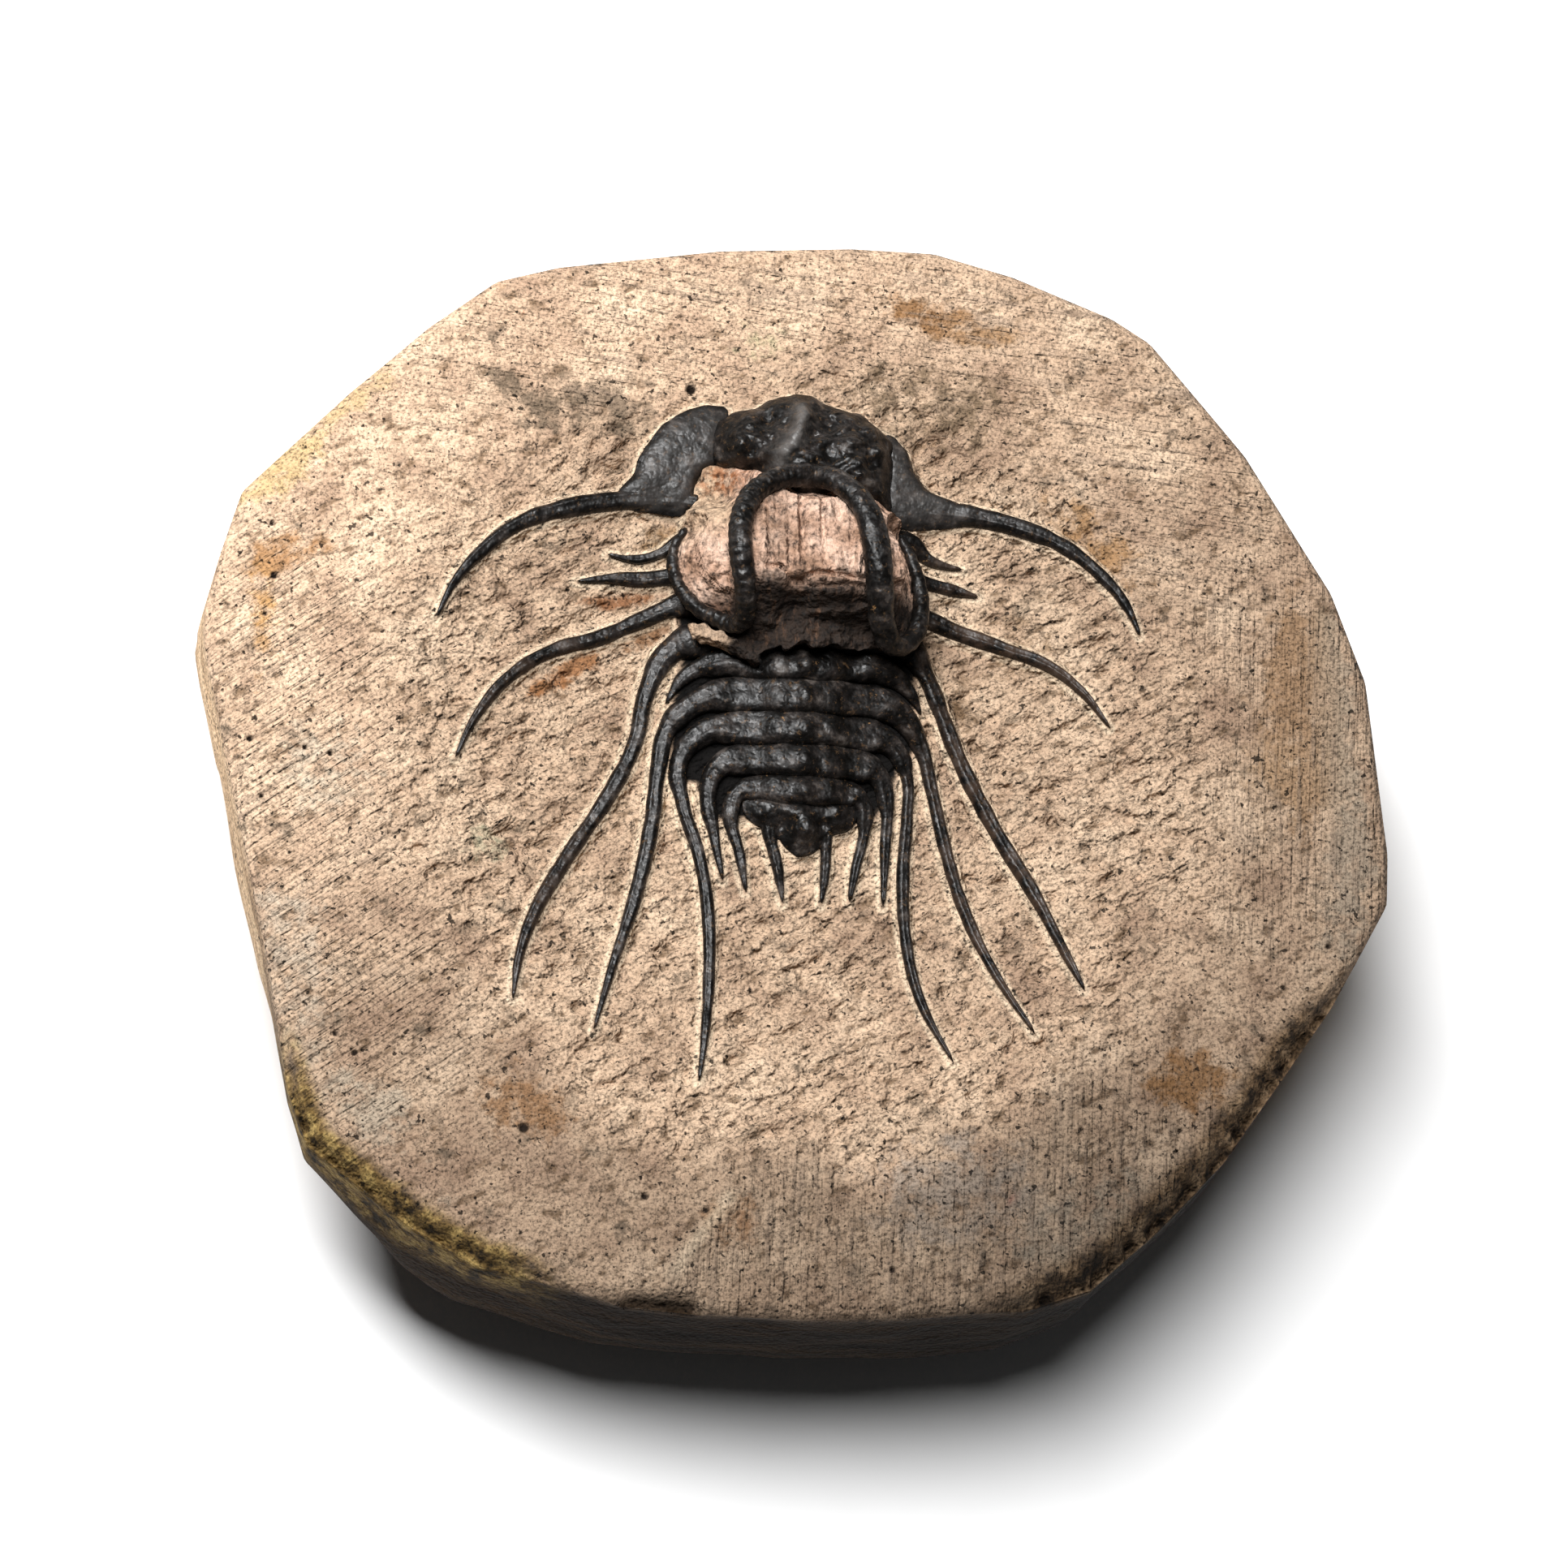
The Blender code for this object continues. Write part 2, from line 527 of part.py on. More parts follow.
def make_tail(material, collection, workshop):
    """The tail plate with its knob and two spines."""
    def top(x, y, share):
        rise = TAIL_EDGE_HEIGHT + (TAIL_HEIGHT - TAIL_EDGE_HEIGHT) * (1.0 - share ** 2.5)
        return rock_height(x, y) + rise + lump(x, y, [TAIL_KNOB]) * (1.0 - share ** 6)

    plate = dome("pygidium", TAIL_OUTLINE, TAIL_MIDDLE, top, plate_seat, TAIL_FACES)
    spines = [spine("left_tail_spine", LEFT_TAIL_SPINE), spine("right_tail_spine", RIGHT_TAIL_SPINE)]
    item = join(plate, spines, workshop, "pygidium")
    return settle(item, material, collection)


def stone_seat(x, y):
    """The underside of the stone: on the bands of the shell, and on the rock in front of them."""
    shell = SHELL_HEIGHT + lobe_rise(x) + AXIS_KNOB_HEIGHT * math.exp(-(x / SHELL_KNOB_REACH) ** 2)
    return rock_seat(x, y) + shell * (1.0 - smooth_step(*SHELL_FRONT, y))


def stone_top(x, y, share):
    """Height of the stone under the horns, highest near its rear end."""
    full = STONE_FRONT_TOP + (STONE_REAR_TOP - STONE_FRONT_TOP) * (1.0 - smooth_step(*STONE_SLOPE, y))
    edge = stone_seat(x, y) + STONE_EDGE_HEIGHT
    return edge + (full - edge) * max(0.0, 1.0 - share ** 3) ** 0.6


def make_stone(material, collection, workshop):
    """The stone left under the horns, with the grooves that the horns lie in."""
    mesh = dome("horn_support_stone", STONE_OUTLINE, STONE_MIDDLE, stone_top, stone_seat, STONE_FACES)
    item = bpy.data.objects.new("horn_support_stone", mesh)
    workshop.objects.link(item)
    grooves = []
    for points in (LEFT_HORN, RIGHT_HORN):
        wider = [(x, y, z, half_width + GAP) for x, y, z, half_width in points]
        tip = Vector(points[-1][:3])
        past_tip = tip + (tip - Vector(points[-2][:3])).normalized() * 2.0 * GAP
        wider.append((*past_tip, wider[-1][3]))
        grooves.append(horn("horn_groove", wider))
    cut(item, grooves, workshop)
    return settle(item, material, collection)


def build():
    """Make every piece of the fossil."""
    clear_scene()
    fossil = bpy.data.collections.new("dicranurus_fossil")
    workshop = bpy.data.collections.new("cutters")
    for group in (fossil, workshop):
        bpy.context.scene.collection.children.link(group)
    limestone = make_material("limestone", (0.62, 0.47, 0.33), 0.9)
    shell = make_material("fossil_shell", (0.025, 0.022, 0.02), 0.45)
    pale_stone = make_material("pink_limestone", (0.55, 0.37, 0.28), 0.8)
    make_block(limestone, fossil)
    make_stone(pale_stone, fossil, workshop)
    make_cranidium(shell, fossil, workshop)
    make_cheek("left_free_cheek", LEFT_CHEEK_OUTLINE, LEFT_CHEEK_MIDDLE, LEFT_CHEEK_SPINE,
               shell, fossil, workshop)
    make_cheek("right_free_cheek", RIGHT_CHEEK_OUTLINE, RIGHT_CHEEK_MIDDLE, RIGHT_CHEEK_SPINE,
               shell, fossil, workshop)
    for number, values in enumerate(SEGMENTS, start=1):
        make_segment(number, values, shell, fossil)
    make_tail(shell, fossil, workshop)


build()
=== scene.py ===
import itertools
import math

import bmesh
import bpy
import numpy as np
from mathutils import Matrix, Vector


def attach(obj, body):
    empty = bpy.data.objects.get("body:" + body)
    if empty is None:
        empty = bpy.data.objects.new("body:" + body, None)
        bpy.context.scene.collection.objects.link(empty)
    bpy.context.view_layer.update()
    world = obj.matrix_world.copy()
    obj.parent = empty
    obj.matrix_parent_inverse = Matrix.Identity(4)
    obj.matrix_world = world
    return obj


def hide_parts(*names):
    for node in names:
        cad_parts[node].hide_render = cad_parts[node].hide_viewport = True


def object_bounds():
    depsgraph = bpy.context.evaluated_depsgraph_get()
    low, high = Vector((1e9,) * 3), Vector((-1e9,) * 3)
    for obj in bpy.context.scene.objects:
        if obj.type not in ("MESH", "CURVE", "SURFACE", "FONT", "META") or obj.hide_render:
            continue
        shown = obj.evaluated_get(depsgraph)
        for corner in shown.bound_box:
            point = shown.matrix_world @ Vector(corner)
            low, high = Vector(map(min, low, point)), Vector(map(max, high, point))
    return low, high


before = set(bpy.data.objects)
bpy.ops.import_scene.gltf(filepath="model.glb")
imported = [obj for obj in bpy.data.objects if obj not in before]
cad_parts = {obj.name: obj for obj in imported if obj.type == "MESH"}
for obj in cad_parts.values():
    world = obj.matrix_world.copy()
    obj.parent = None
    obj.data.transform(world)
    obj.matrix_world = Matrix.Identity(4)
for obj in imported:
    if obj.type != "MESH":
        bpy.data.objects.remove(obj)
cad_low, cad_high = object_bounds()

# The block is a hand-sized slab of fine-grained limestone, split along its bed. Its rim was ground
# flat, a shallow dish was pecked round the animal with a pointed air pen, and its wall was trimmed
# with a saw at the lower right and left as it broke elsewhere. It lies on a flat spot.

MM = 0.001
RIM_HEIGHT = 30.0
# The edge of the face seen from above, clockwise from the left
BLOCK_OUTLINE = [
    (-58.0, 27.0), (-47.0, 38.5), (-39.0, 46.0), (-32.0, 51.5), (-25.5, 53.5), (-8.5, 56.5),
    (5.5, 57.6), (14.0, 57.6), (22.5, 55.5), (33.0, 51.5), (37.0, 49.0), (47.0, 37.0),
    (56.0, 22.5), (59.5, 13.0), (61.55, -5.5), (61.35, -11.0), (55.5, -22.0), (44.0, -39.0),
    (36.0, -47.5), (30.0, -53.0), (23.0, -55.5), (11.0, -57.0), (0.0, -57.6), (-9.0, -57.4),
    (-18.5, -56.8), (-33.0, -53.0), (-39.5, -49.5), (-50.0, -41.5), (-52.0, -36.0),
    (-55.0, -20.0), (-61.15, 8.5), (-61.85, 12.5), (-60.0, 20.5),
]
# The wall is upright down to this height and draws in below it. It starts higher or lower on some
# sides: direction in degrees, half angle, change
UPRIGHT_TO = 16.0
WALL_CHANGES = [(180.0, 45.0, 10.0), (-142.0, 14.0, 4.0), (-95.0, 38.0, -3.0)]
FLAT_SPOT_SHARE = 0.77
FLAT_SPOT_INNER = 0.5
WALL_HEIGHTS = [
    28.2, 27.0, 25.5, 24.0, 22.0, 20.0, 18.0, 16.0, 14.0, 12.0, 9.5, 7.0, 5.0, 3.0, 1.2, 0.3, 0.0,
]

DISH_MIDDLE = (-1.0, 0.0)
DISH_HALF_SIZE = (44.0, 42.0)
DISH_FLAT = 0.45
DISH_DEPTH = 2.6
MOUND_MIDDLE = (-0.3, 15.0)
MOUND_HALF_SIZE = (17.5, 31.0)
MOUND_FLAT = 0.15
MOUND_HEIGHT = 2.5
# Broad swells and hollows of the face: (x, y, reach, height)
FACE_SWELLS = [
    (-48.0, 20.0, 13.0, 0.5), (38.0, 34.0, 14.0, 0.5), (-40.0, -32.0, 12.0, -0.5),
    (30.0, -38.0, 15.0, 0.5), (-8.0, 46.0, 13.0, -0.4), (52.0, -4.0, 11.0, -0.5),
]
# The low ridge between two broken chips at the lower edge
CHIP_RIDGE = ((-7.5, -45.5), (-13.2, -53.5))
CHIP_RIDGE_HALF_WIDTH = 1.5
CHIP_RIDGE_HEIGHT = 0.7

# Worn edges: direction in degrees, half angle, width across the top and depth down the wall
EDGE_WIDTH = 0.7
EDGE_DEPTH = 0.8
WORN_EDGES = {
    "saw cut": (-45.0, 24.0, 2.6, 2.4),
    "crust": (-132.0, 16.0, 1.6, 2.0),
    "weathered": (148.0, 14.0, 1.6, 1.2),
    "chip": (-104.0, 4.0, 2.0, 3.0),
}
SAW_SIDE = WORN_EDGES["saw cut"][:2]
CRUST_SIDE = WORN_EDGES["crust"][:2]

# The shell that the rock is carved round: spines as (x, y, half width) from the root out, and plates
LEFT_CHEEK_SPINE = [
    (-10.6, 28.3, 1.0), (-14.0, 28.6, 1.1), (-19.0, 28.1, 1.0), (-24.5, 26.9, 0.95), (-29.4, 24.9, 0.85),
    (-33.4, 21.6, 0.65), (-36.3, 17.9, 0.4), (-38.0, 14.2, 0.15),
]
RIGHT_CHEEK_SPINE = [
    (10.8, 28.7, 1.1), (14.3, 28.8, 1.25), (18.4, 28.4, 1.1), (22.9, 27.4, 0.9), (27.2, 25.7, 0.8),
    (31.0, 22.9, 0.7), (33.8, 19.7, 0.5), (35.4, 16.4, 0.15),
]
# Each segment: height on the axis, half length of its band, left spine, right spine
SEGMENTS = [
    (24.6, 1.4, [(-12.6, 24.2, 0.7), (-14.8, 22.9, 0.5), (-17.2, 22.2, 0.45), (-20.2, 22.5, 0.15)],
     [(11.4, 25.0, 0.8), (13.6, 23.7, 0.6), (17.0, 23.0, 0.15)]),
    (21.4, 1.4, [(-13.0, 20.6, 0.85), (-16.5, 20.1, 0.8), (-19.3, 20.0, 0.6), (-23.4, 19.4, 0.15)],
     [(12.0, 21.4, 0.85), (15.3, 20.9, 0.7), (18.7, 20.2, 0.15)]),
    (18.1, 1.45, [(-12.6, 17.5, 0.95), (-16.5, 15.8, 0.85), (-20.9, 13.6, 0.75), (-25.4, 12.0, 0.75),
                  (-30.0, 8.9, 0.65), (-33.7, 4.1, 0.45), (-35.8, -0.5, 0.15)],
     [(12.3, 17.7, 1.0), (16.5, 16.3, 0.85), (21.4, 14.7, 0.75), (25.9, 13.0, 0.65), (29.3, 10.4, 0.5),
      (32.3, 6.5, 0.15)]),
    (14.7, 1.5, [(-10.4, 13.9, 1.5), (-13.6, 12.4, 1.25), (-15.9, 8.1, 0.95), (-17.0, 2.8, 0.85),
                 (-19.4, -2.5, 0.8), (-24.3, -10.5, 0.75), (-27.5, -16.5, 0.65), (-29.0, -21.0, 0.5),
                 (-29.7, -25.8, 0.15)],
     [(10.8, 14.4, 1.3), (13.1, 11.4, 1.0), (15.0, 7.0, 0.85), (16.8, 2.4, 0.85), (20.2, -4.4, 0.8),
      (24.4, -11.8, 0.7), (27.3, -18.0, 0.5), (29.2, -22.0, 0.15)]),
    (11.1, 1.45, [(-5.0, 11.1, 1.3), (-8.9, 11.1, 1.05), (-11.9, 9.9, 0.6), (-14.0, 6.9, 0.15)],
     [(5.5, 11.4, 1.3), (8.6, 11.2, 1.05), (11.2, 9.6, 0.6), (12.7, 7.2, 0.15)]),
    (7.6, 1.45, [(-7.0, 7.8, 1.35), (-10.6, 7.1, 1.1), (-13.6, 4.4, 0.85), (-14.6, 0.2, 0.8),
                 (-15.3, -6.0, 0.8), (-16.9, -13.6, 0.7), (-19.2, -21.0, 0.5), (-21.4, -28.6, 0.15)],
     [(7.0, 7.8, 1.35), (10.2, 6.9, 1.05), (12.6, 3.6, 0.75), (13.8, -0.8, 0.7), (15.1, -6.6, 0.7),
      (17.0, -13.2, 0.65), (20.2, -20.5, 0.5), (24.0, -26.9, 0.15)]),
    (4.2, 1.4, [(-7.0, 4.3, 1.3), (-10.4, 3.6, 1.0), (-12.5, 0.8, 0.75), (-12.1, -3.6, 0.7),
                (-10.4, -9.0, 0.7), (-9.4, -15.4, 0.65), (-9.4, -23.0, 0.6), (-9.9, -28.4, 0.45),
                (-10.6, -33.4, 0.15)],
     [(6.6, 4.3, 1.3), (9.4, 3.5, 0.95), (11.1, 0.6, 0.65), (11.2, -4.0, 0.65), (10.8, -9.6, 0.65),
      (11.0, -16.4, 0.6), (12.4, -23.5, 0.5), (15.6, -30.3, 0.15)]),
    (0.9, 1.35, [(-6.0, 1.0, 1.2), (-8.4, 0.3, 0.9), (-9.5, -2.0, 0.7), (-8.9, -6.6, 0.6),
                 (-7.9, -11.5, 0.2)],
     [(5.8, 1.0, 1.2), (7.9, 0.3, 0.85), (8.9, -2.2, 0.65), (8.9, -7.6, 0.55), (8.7, -13.5, 0.2)]),
    (-2.2, 1.2, [(-4.4, -2.0, 1.1), (-6.6, -2.6, 0.75), (-7.2, -4.6, 0.65), (-6.2, -8.8, 0.55),
                 (-5.5, -12.6, 0.2)],
     [(4.4, -2.1, 1.1), (6.2, -2.7, 0.7), (6.7, -5.0, 0.6), (5.8, -9.8, 0.55), (5.2, -13.1, 0.2)]),
]
LOBE_HALF_WIDTH = 4.2
LEFT_TAIL_SPINE = [(-3.6, -4.9, 0.8), (-3.1, -7.0, 0.7), (-2.3, -10.0, 0.6), (-1.7, -13.7, 0.2)]
RIGHT_TAIL_SPINE = [(2.6, -5.0, 0.8), (2.7, -7.4, 0.65), (2.6, -10.4, 0.55), (2.3, -13.5, 0.2)]
TAIL_OUTLINE = [
    (-6.3, -3.0), (-3.0, -2.9), (3.0, -2.9), (6.0, -3.0), (6.0, -4.6), (5.0, -5.9), (3.6, -6.2),
    (2.5, -7.3),
    (1.2, -8.5), (-0.4, -8.9), (-1.7, -7.9), (-2.6, -6.6), (-4.2, -6.0), (-5.8, -5.0),
]
HEAD_OUTLINE = [
    (-7.8, 38.0), (-5.2, 38.6), (-4.0, 39.3), (-1.3, 40.3), (1.0, 40.2), (2.4, 39.4), (5.6, 38.5),
    (8.0, 37.2),
    (9.2, 35.6), (9.4, 33.0), (9.0, 30.4), (9.2, 27.6), (5.0, 27.4), (0.0, 27.2), (-4.4, 28.4),
    (-5.2, 31.2),
    (-7.0, 31.9), (-9.3, 31.8), (-9.9, 33.6), (-9.3, 36.6),
]
LEFT_CHEEK_PLATE = [
    (-7.6, 38.6), (-10.0, 39.0), (-12.4, 38.1), (-14.9, 36.2), (-16.8, 33.4), (-17.7, 30.6),
    (-19.6, 28.9),
    (-19.0, 27.4), (-14.0, 27.1), (-12.3, 26.9), (-11.7, 28.6), (-11.2, 30.6), (-10.4, 31.8),
    (-8.8, 32.6),
    (-8.4, 35.6),
]
RIGHT_CHEEK_PLATE = [
    (8.4, 37.0), (9.6, 36.4), (10.9, 34.9), (11.5, 33.0), (13.2, 30.9), (16.2, 29.8), (18.4, 29.2),
    (17.6, 27.5),
    (13.4, 27.0), (10.4, 26.8), (8.4, 27.6), (8.2, 32.6),
]
# Round the bands no stone shows between the plates
BODY_OUTLINE = [
    (-12.4, 26.5), (-13.4, 17.6), (-12.4, 12.6), (-13.4, 8.4), (-13.7, 4.2), (-13.5, -1.6), (-10.9, -1.6),
    (-9.9, -4.6), (-8.2, -5.4), (-5.6, -5.2), (-3.6, -6.6), (0.0, -8.0), (3.0, -6.8), (5.4, -5.4),
    (7.9, -4.6),
    (9.6, -2.0), (10.6, 1.0), (12.4, 3.4), (12.2, 8.0), (12.4, 12.6), (12.6, 18.0), (12.0, 26.5),
]

# Marks on the face, stains and painted shadows: (x, y, half size along, half size across, turn in degrees,
# sRGB colour, strength)
STAINS_AND_SHADES = [
    (14.0, 50.1, 6.5, 1.8, -14.0, "#74502C", 0.9),
    (19.0, 49.0, 4.0, 2.0, 0.0, "#9C7C5C", 0.6),
    (30.6, 26.5, 6.5, 2.6, -38.0, "#93704C", 0.8),
    (52.4, 10.0, 3.6, 12.0, 2.0, "#8E7054", 1.0),
    (50.5, 2.5, 5.0, 4.0, 0.0, "#A08264", 0.6),
    (-53.6, 20.4, 4.4, 2.0, 20.0, "#8A6440", 0.8),
    (-56.0, 14.0, 1.6, 5.0, 0.0, "#A07848", 0.7),
    (-28.0, -37.0, 4.6, 3.2, -30.0, "#8C6848", 0.9),
    (-7.3, -48.2, 2.6, 3.2, -25.0, "#8A6648", 0.8),
    (40.1, -31.1, 5.0, 3.4, 20.0, "#86603A", 0.95),
    (-24.4, 9.6, 5.0, 1.2, 34.0, "#82542E", 1.0),
    (-19.0, 17.9, 4.2, 0.8, 10.0, "#74492A", 1.0),
    (-15.6, 14.4, 2.6, 1.3, 30.0, "#6E4A2C", 1.0),
    (-7.9, 31.3, 1.8, 1.4, 0.0, "#B27A40", 0.9),
    # Painted shade on the slopes of the dish above the head, which face away from the lamp
    (-24.0, 38.5, 9.0, 4.0, -8.0, "#5C4F41", 0.78),
    (14.3, 40.7, 9.5, 5.0, -5.0, "#665542", 0.72),
    (-4.5, 45.8, 3.0, 1.6, 0.0, "#9A9272", 0.7),
    (-32.4, -9.4, 2.4, 2.4, 0.0, "#98937A", 0.6),
    (21.3, -44.2, 0.5, 0.5, 0.0, "#8A3A22", 1.0),
    (-29.2, 48.4, 0.5, 0.5, 0.0, "#8A4A2A", 1.0),
    (-54.0, 30.0, 6.0, 2.4, 45.0, "#A88E66", 1.0),
    (-46.5, 38.5, 5.0, 2.0, 45.0, "#A58C68", 0.8),
    (15.6, -44.2, 9.0, 6.0, 10.0, "#A39384", 0.75),
    (30.0, -46.0, 9.0, 4.0, 30.0, "#A0917F", 0.7),
    (-52.0, -22.0, 3.6, 9.0, 8.0, "#B2A28F", 0.7),
    (-44.0, -38.0, 6.0, 3.6, -40.0, "#B0A08C", 0.7),
    (-50.0, -3.0, 5.0, 5.0, 0.0, "#B4A692", 0.6),
    (56.4, 8.0, 2.2, 14.0, 4.0, "#A0907D", 0.8),
    (57.0, -10.0, 2.8, 8.0, -10.0, "#9C8C7A", 0.8),
    # Painted shadow of the stone between the horns, partly a brown stain, in these two marks
    (24.0, 14.0, 5.0, 4.0, -30.0, "#6E563C", 0.6),
    (17.5, 9.0, 2.4, 3.4, 20.0, "#5A442E", 0.7),
    # Painted shadow under the left cheek spine
    (-14.2, 24.6, 3.0, 1.6, 0.0, "#7A5C3C", 0.7),
    (-30.0, 53.0, 4.0, 1.6, 20.0, "#9A7A58", 0.6),
]
# Round holes of dissolved grains: (x, y, radius)
PITS = [
    (-55.0, 23.4, 0.32), (-54.7, 17.8, 0.4), (-55.5, 13.7, 0.26), (-56.8, 0.3, 0.34), (-51.2, -0.3, 0.25),
    (-48.6, -0.8, 0.3), (-55.5, -5.6, 0.25), (-11.7, 40.8, 0.55), (-28.4, -39.1, 0.5),
    (-47.6, -30.1, 0.3),
    (-45.6, -32.1, 0.28), (38.9, -36.4, 0.28), (54.9, -15.9, 0.3), (50.1, -20.6, 0.3),
    (47.8, -26.3, 0.28),
    (28.7, -36.8, 0.24), (-16.1, -45.7, 0.36), (-9.9, -46.9, 0.3), (9.2, -52.2, 0.3),
]


def smooth_step(low, high, value):
    """0 below low, 1 above high, with a soft run between."""
    share = np.clip((value - low) / (high - low), 0.0, 1.0)
    return share * share * (3.0 - 2.0 * share)


def soft_noise(points, seed):
    """Smooth noise between -1 and 1, with lumps about one unit apart."""
    corner = np.floor(points).astype(np.int64)
    part = points - corner
    ease = part * part * (3.0 - 2.0 * part)
    primes = np.array([73856093, 19349663, 83492791])[:points.shape[-1]]
    total = np.zeros(points.shape[:-1])
    for step in itertools.product((0, 1), repeat=points.shape[-1]):
        code = ((corner + step) * primes).sum(-1) + seed * 7919
        code = (code ^ (code >> 13)) * 1274126177 & 0x7FFFFFFF
        code = (code ^ (code >> 11)) * 668265263 & 0x7FFFFFFF
        value = (code >> 7 & 0xFFFF) / 32767.5 - 1.0
        total += value * np.where(step, ease, 1.0 - ease).prod(-1)
    return total


def turned(x, y, degrees, long, short):
    """Coordinates along and across a direction, in units of a mark's length and width."""
    angle = math.radians(degrees)
    along = x * math.cos(angle) + y * math.sin(angle)
    across = y * math.cos(angle) - x * math.sin(angle)
    return np.stack([along / long, across / short], -1)


def lumps(x, y, values):
    """Sum of soft lumps given as (x, y, reach, height)."""
    total = 0.0
    for lump_x, lump_y, reach, height in values:
        total = total + height * np.exp(-((x - lump_x) ** 2 + (y - lump_y) ** 2) / reach ** 2)
    return total


def distance_to_run(x, y, start, end):
    """Distance of points from a straight run, and the share of the way along it."""
    run = np.subtract(end, start)
    share = np.clip(((x - start[0]) * run[0] + (y - start[1]) * run[1]) / (run @ run), 0.0, 1.0)
    return np.hypot(x - start[0] - share * run[0], y - start[1] - share * run[1]), share


def oval_share(x, y, middle, half_size):
    """Distance from the middle of an oval, as a share of its half size."""
    return np.hypot((x - middle[0]) / half_size[0], (y - middle[1]) / half_size[1])


def rock_height(x, y):
    """Height of the face before it was pecked: the rim, the dish, and the mound under the body."""
    from_dish = oval_share(x, y, DISH_MIDDLE, DISH_HALF_SIZE)
    from_body = oval_share(x, y, MOUND_MIDDLE, MOUND_HALF_SIZE)
    height = RIM_HEIGHT - DISH_DEPTH * (1.0 - smooth_step(DISH_FLAT, 1.0, from_dish))
    height = height + MOUND_HEIGHT * (1.0 - smooth_step(MOUND_FLAT, 1.0, from_body))
    ridge = distance_to_run(x, y, *CHIP_RIDGE)[0] / CHIP_RIDGE_HALF_WIDTH
    return height + CHIP_RIDGE_HEIGHT * np.exp(-ridge * ridge) + lumps(x, y, FACE_SWELLS)


HANDLE_SHARE = 0.39


def smooth_run(knots, steps):
    """A smooth curve through knots of two or three coordinates and a half width, as dense points."""
    knots = np.array(knots, float)
    places = knots[:, :-1]
    before = np.vstack([2.0 * places[:1] - places[1:2], places[:-1]])
    after = np.vstack([places[1:], 2.0 * places[-1:] - places[-2:-1]])
    back = places - before
    ahead = after - places
    back_length = np.linalg.norm(back, axis=1, keepdims=True)
    ahead_length = np.linalg.norm(ahead, axis=1, keepdims=True)
    direction = back / back_length + ahead / ahead_length
    direction /= np.linalg.norm(direction, axis=1, keepdims=True)
    out = places + direction * ahead_length * HANDLE_SHARE
    into = places - direction * back_length * HANDLE_SHARE
    share = np.linspace(0.0, 1.0, steps, endpoint=False)[:, None]
    pieces = []
    for index in range(len(knots) - 1):
        rest = 1.0 - share
        place = (rest ** 3 * places[index] + 3.0 * rest ** 2 * share * out[index]
                 + 3.0 * rest * share ** 2 * into[index + 1] + share ** 3 * places[index + 1])
        width = knots[index, -1] + (knots[index + 1, -1] - knots[index, -1]) * share
        pieces.append(np.hstack([place, width]))
    pieces.append(knots[-1:])
    return np.vstack(pieces)


def segment_knots(values):
    """A segment's knots from the tip of its left spine over the axis to the tip of its right one."""
    height_on_axis, half_length, left, right = values
    reach = min(abs(left[0][0]), right[0][0])
    steps = [-0.6 * LOBE_HALF_WIDTH, 0.0, 0.6 * LOBE_HALF_WIDTH]
    if reach > 2.2 * LOBE_HALF_WIDTH:
        steps = [-1.7 * LOBE_HALF_WIDTH] + steps + [1.7 * LOBE_HALF_WIDTH]
    return left[::-1] + [(x, height_on_axis, half_length) for x in steps] + right


# How finely the runs are read, and the distance past which the shell no longer counts
SHELL_STEPS = 8
SEGMENT_RUNS = [smooth_run(segment_knots(values), SHELL_STEPS) for values in SEGMENTS]
CHEEK_RUNS = [smooth_run(knots, SHELL_STEPS) for knots in (LEFT_CHEEK_SPINE, RIGHT_CHEEK_SPINE)]
TAIL_RUNS = [smooth_run(knots, SHELL_STEPS) for knots in (LEFT_TAIL_SPINE, RIGHT_TAIL_SPINE)]
FAR = 9.0


def from_run(x, y, run):
    """Distance of points from the edge of a spine, up to FAR, and its half width there."""
    edge = np.full(x.shape, FAR)
    width = np.full(x.shape, 0.5)
    low = run[:, :2].min(0) - 4.0
    high = run[:, :2].max(0) + 4.0
    near = np.flatnonzero((x > low[0]) & (x < high[0]) & (y > low[1]) & (y < high[1]))
    for start, end in zip(run[:-1], run[1:]):
        away, share = distance_to_run(x[near], y[near], start[:2], end[:2])
        half_width = start[2] + (end[2] - start[2]) * share
        closer = away - half_width < edge[near]
        edge[near[closer]] = (away - half_width)[closer]
        width[near[closer]] = half_width[closer]
    return edge, width


def from_outline(x, y, outline):
    """Distance of points from a closed outline, negative inside it."""
    away = np.full(x.shape, FAR)
    inside = np.zeros(x.shape, bool)
    for start, end in zip(outline, outline[1:] + outline[:1]):
        away = np.minimum(away, distance_to_run(x, y, start, end)[0])
        crosses = (start[1] > y) != (end[1] > y)
        if start[1] != end[1]:
            cut = start[0] + (y - start[1]) * (end[0] - start[0]) / (end[1] - start[1])
            inside ^= crosses & (x < cut)
    return np.where(inside, -away, away)


def from_shell(x, y):
    """Distance of points from the nearest edge of the shell, and the half width of what lies there."""
    edge = np.full(x.shape, FAR)
    width = np.full(x.shape, 0.5)
    for run in SEGMENT_RUNS + CHEEK_RUNS + TAIL_RUNS:
        run_edge, run_width = from_run(x, y, run)
        closer = run_edge < edge
        edge[closer] = run_edge[closer]
        width[closer] = run_width[closer]
    for outline in (BODY_OUTLINE, TAIL_OUTLINE, HEAD_OUTLINE, LEFT_CHEEK_PLATE, RIGHT_CHEEK_PLATE):
        plate_edge = from_outline(x, y, outline)
        closer = plate_edge < edge
        edge[closer] = plate_edge[closer]
        width[closer] = 1.0
    return edge, width


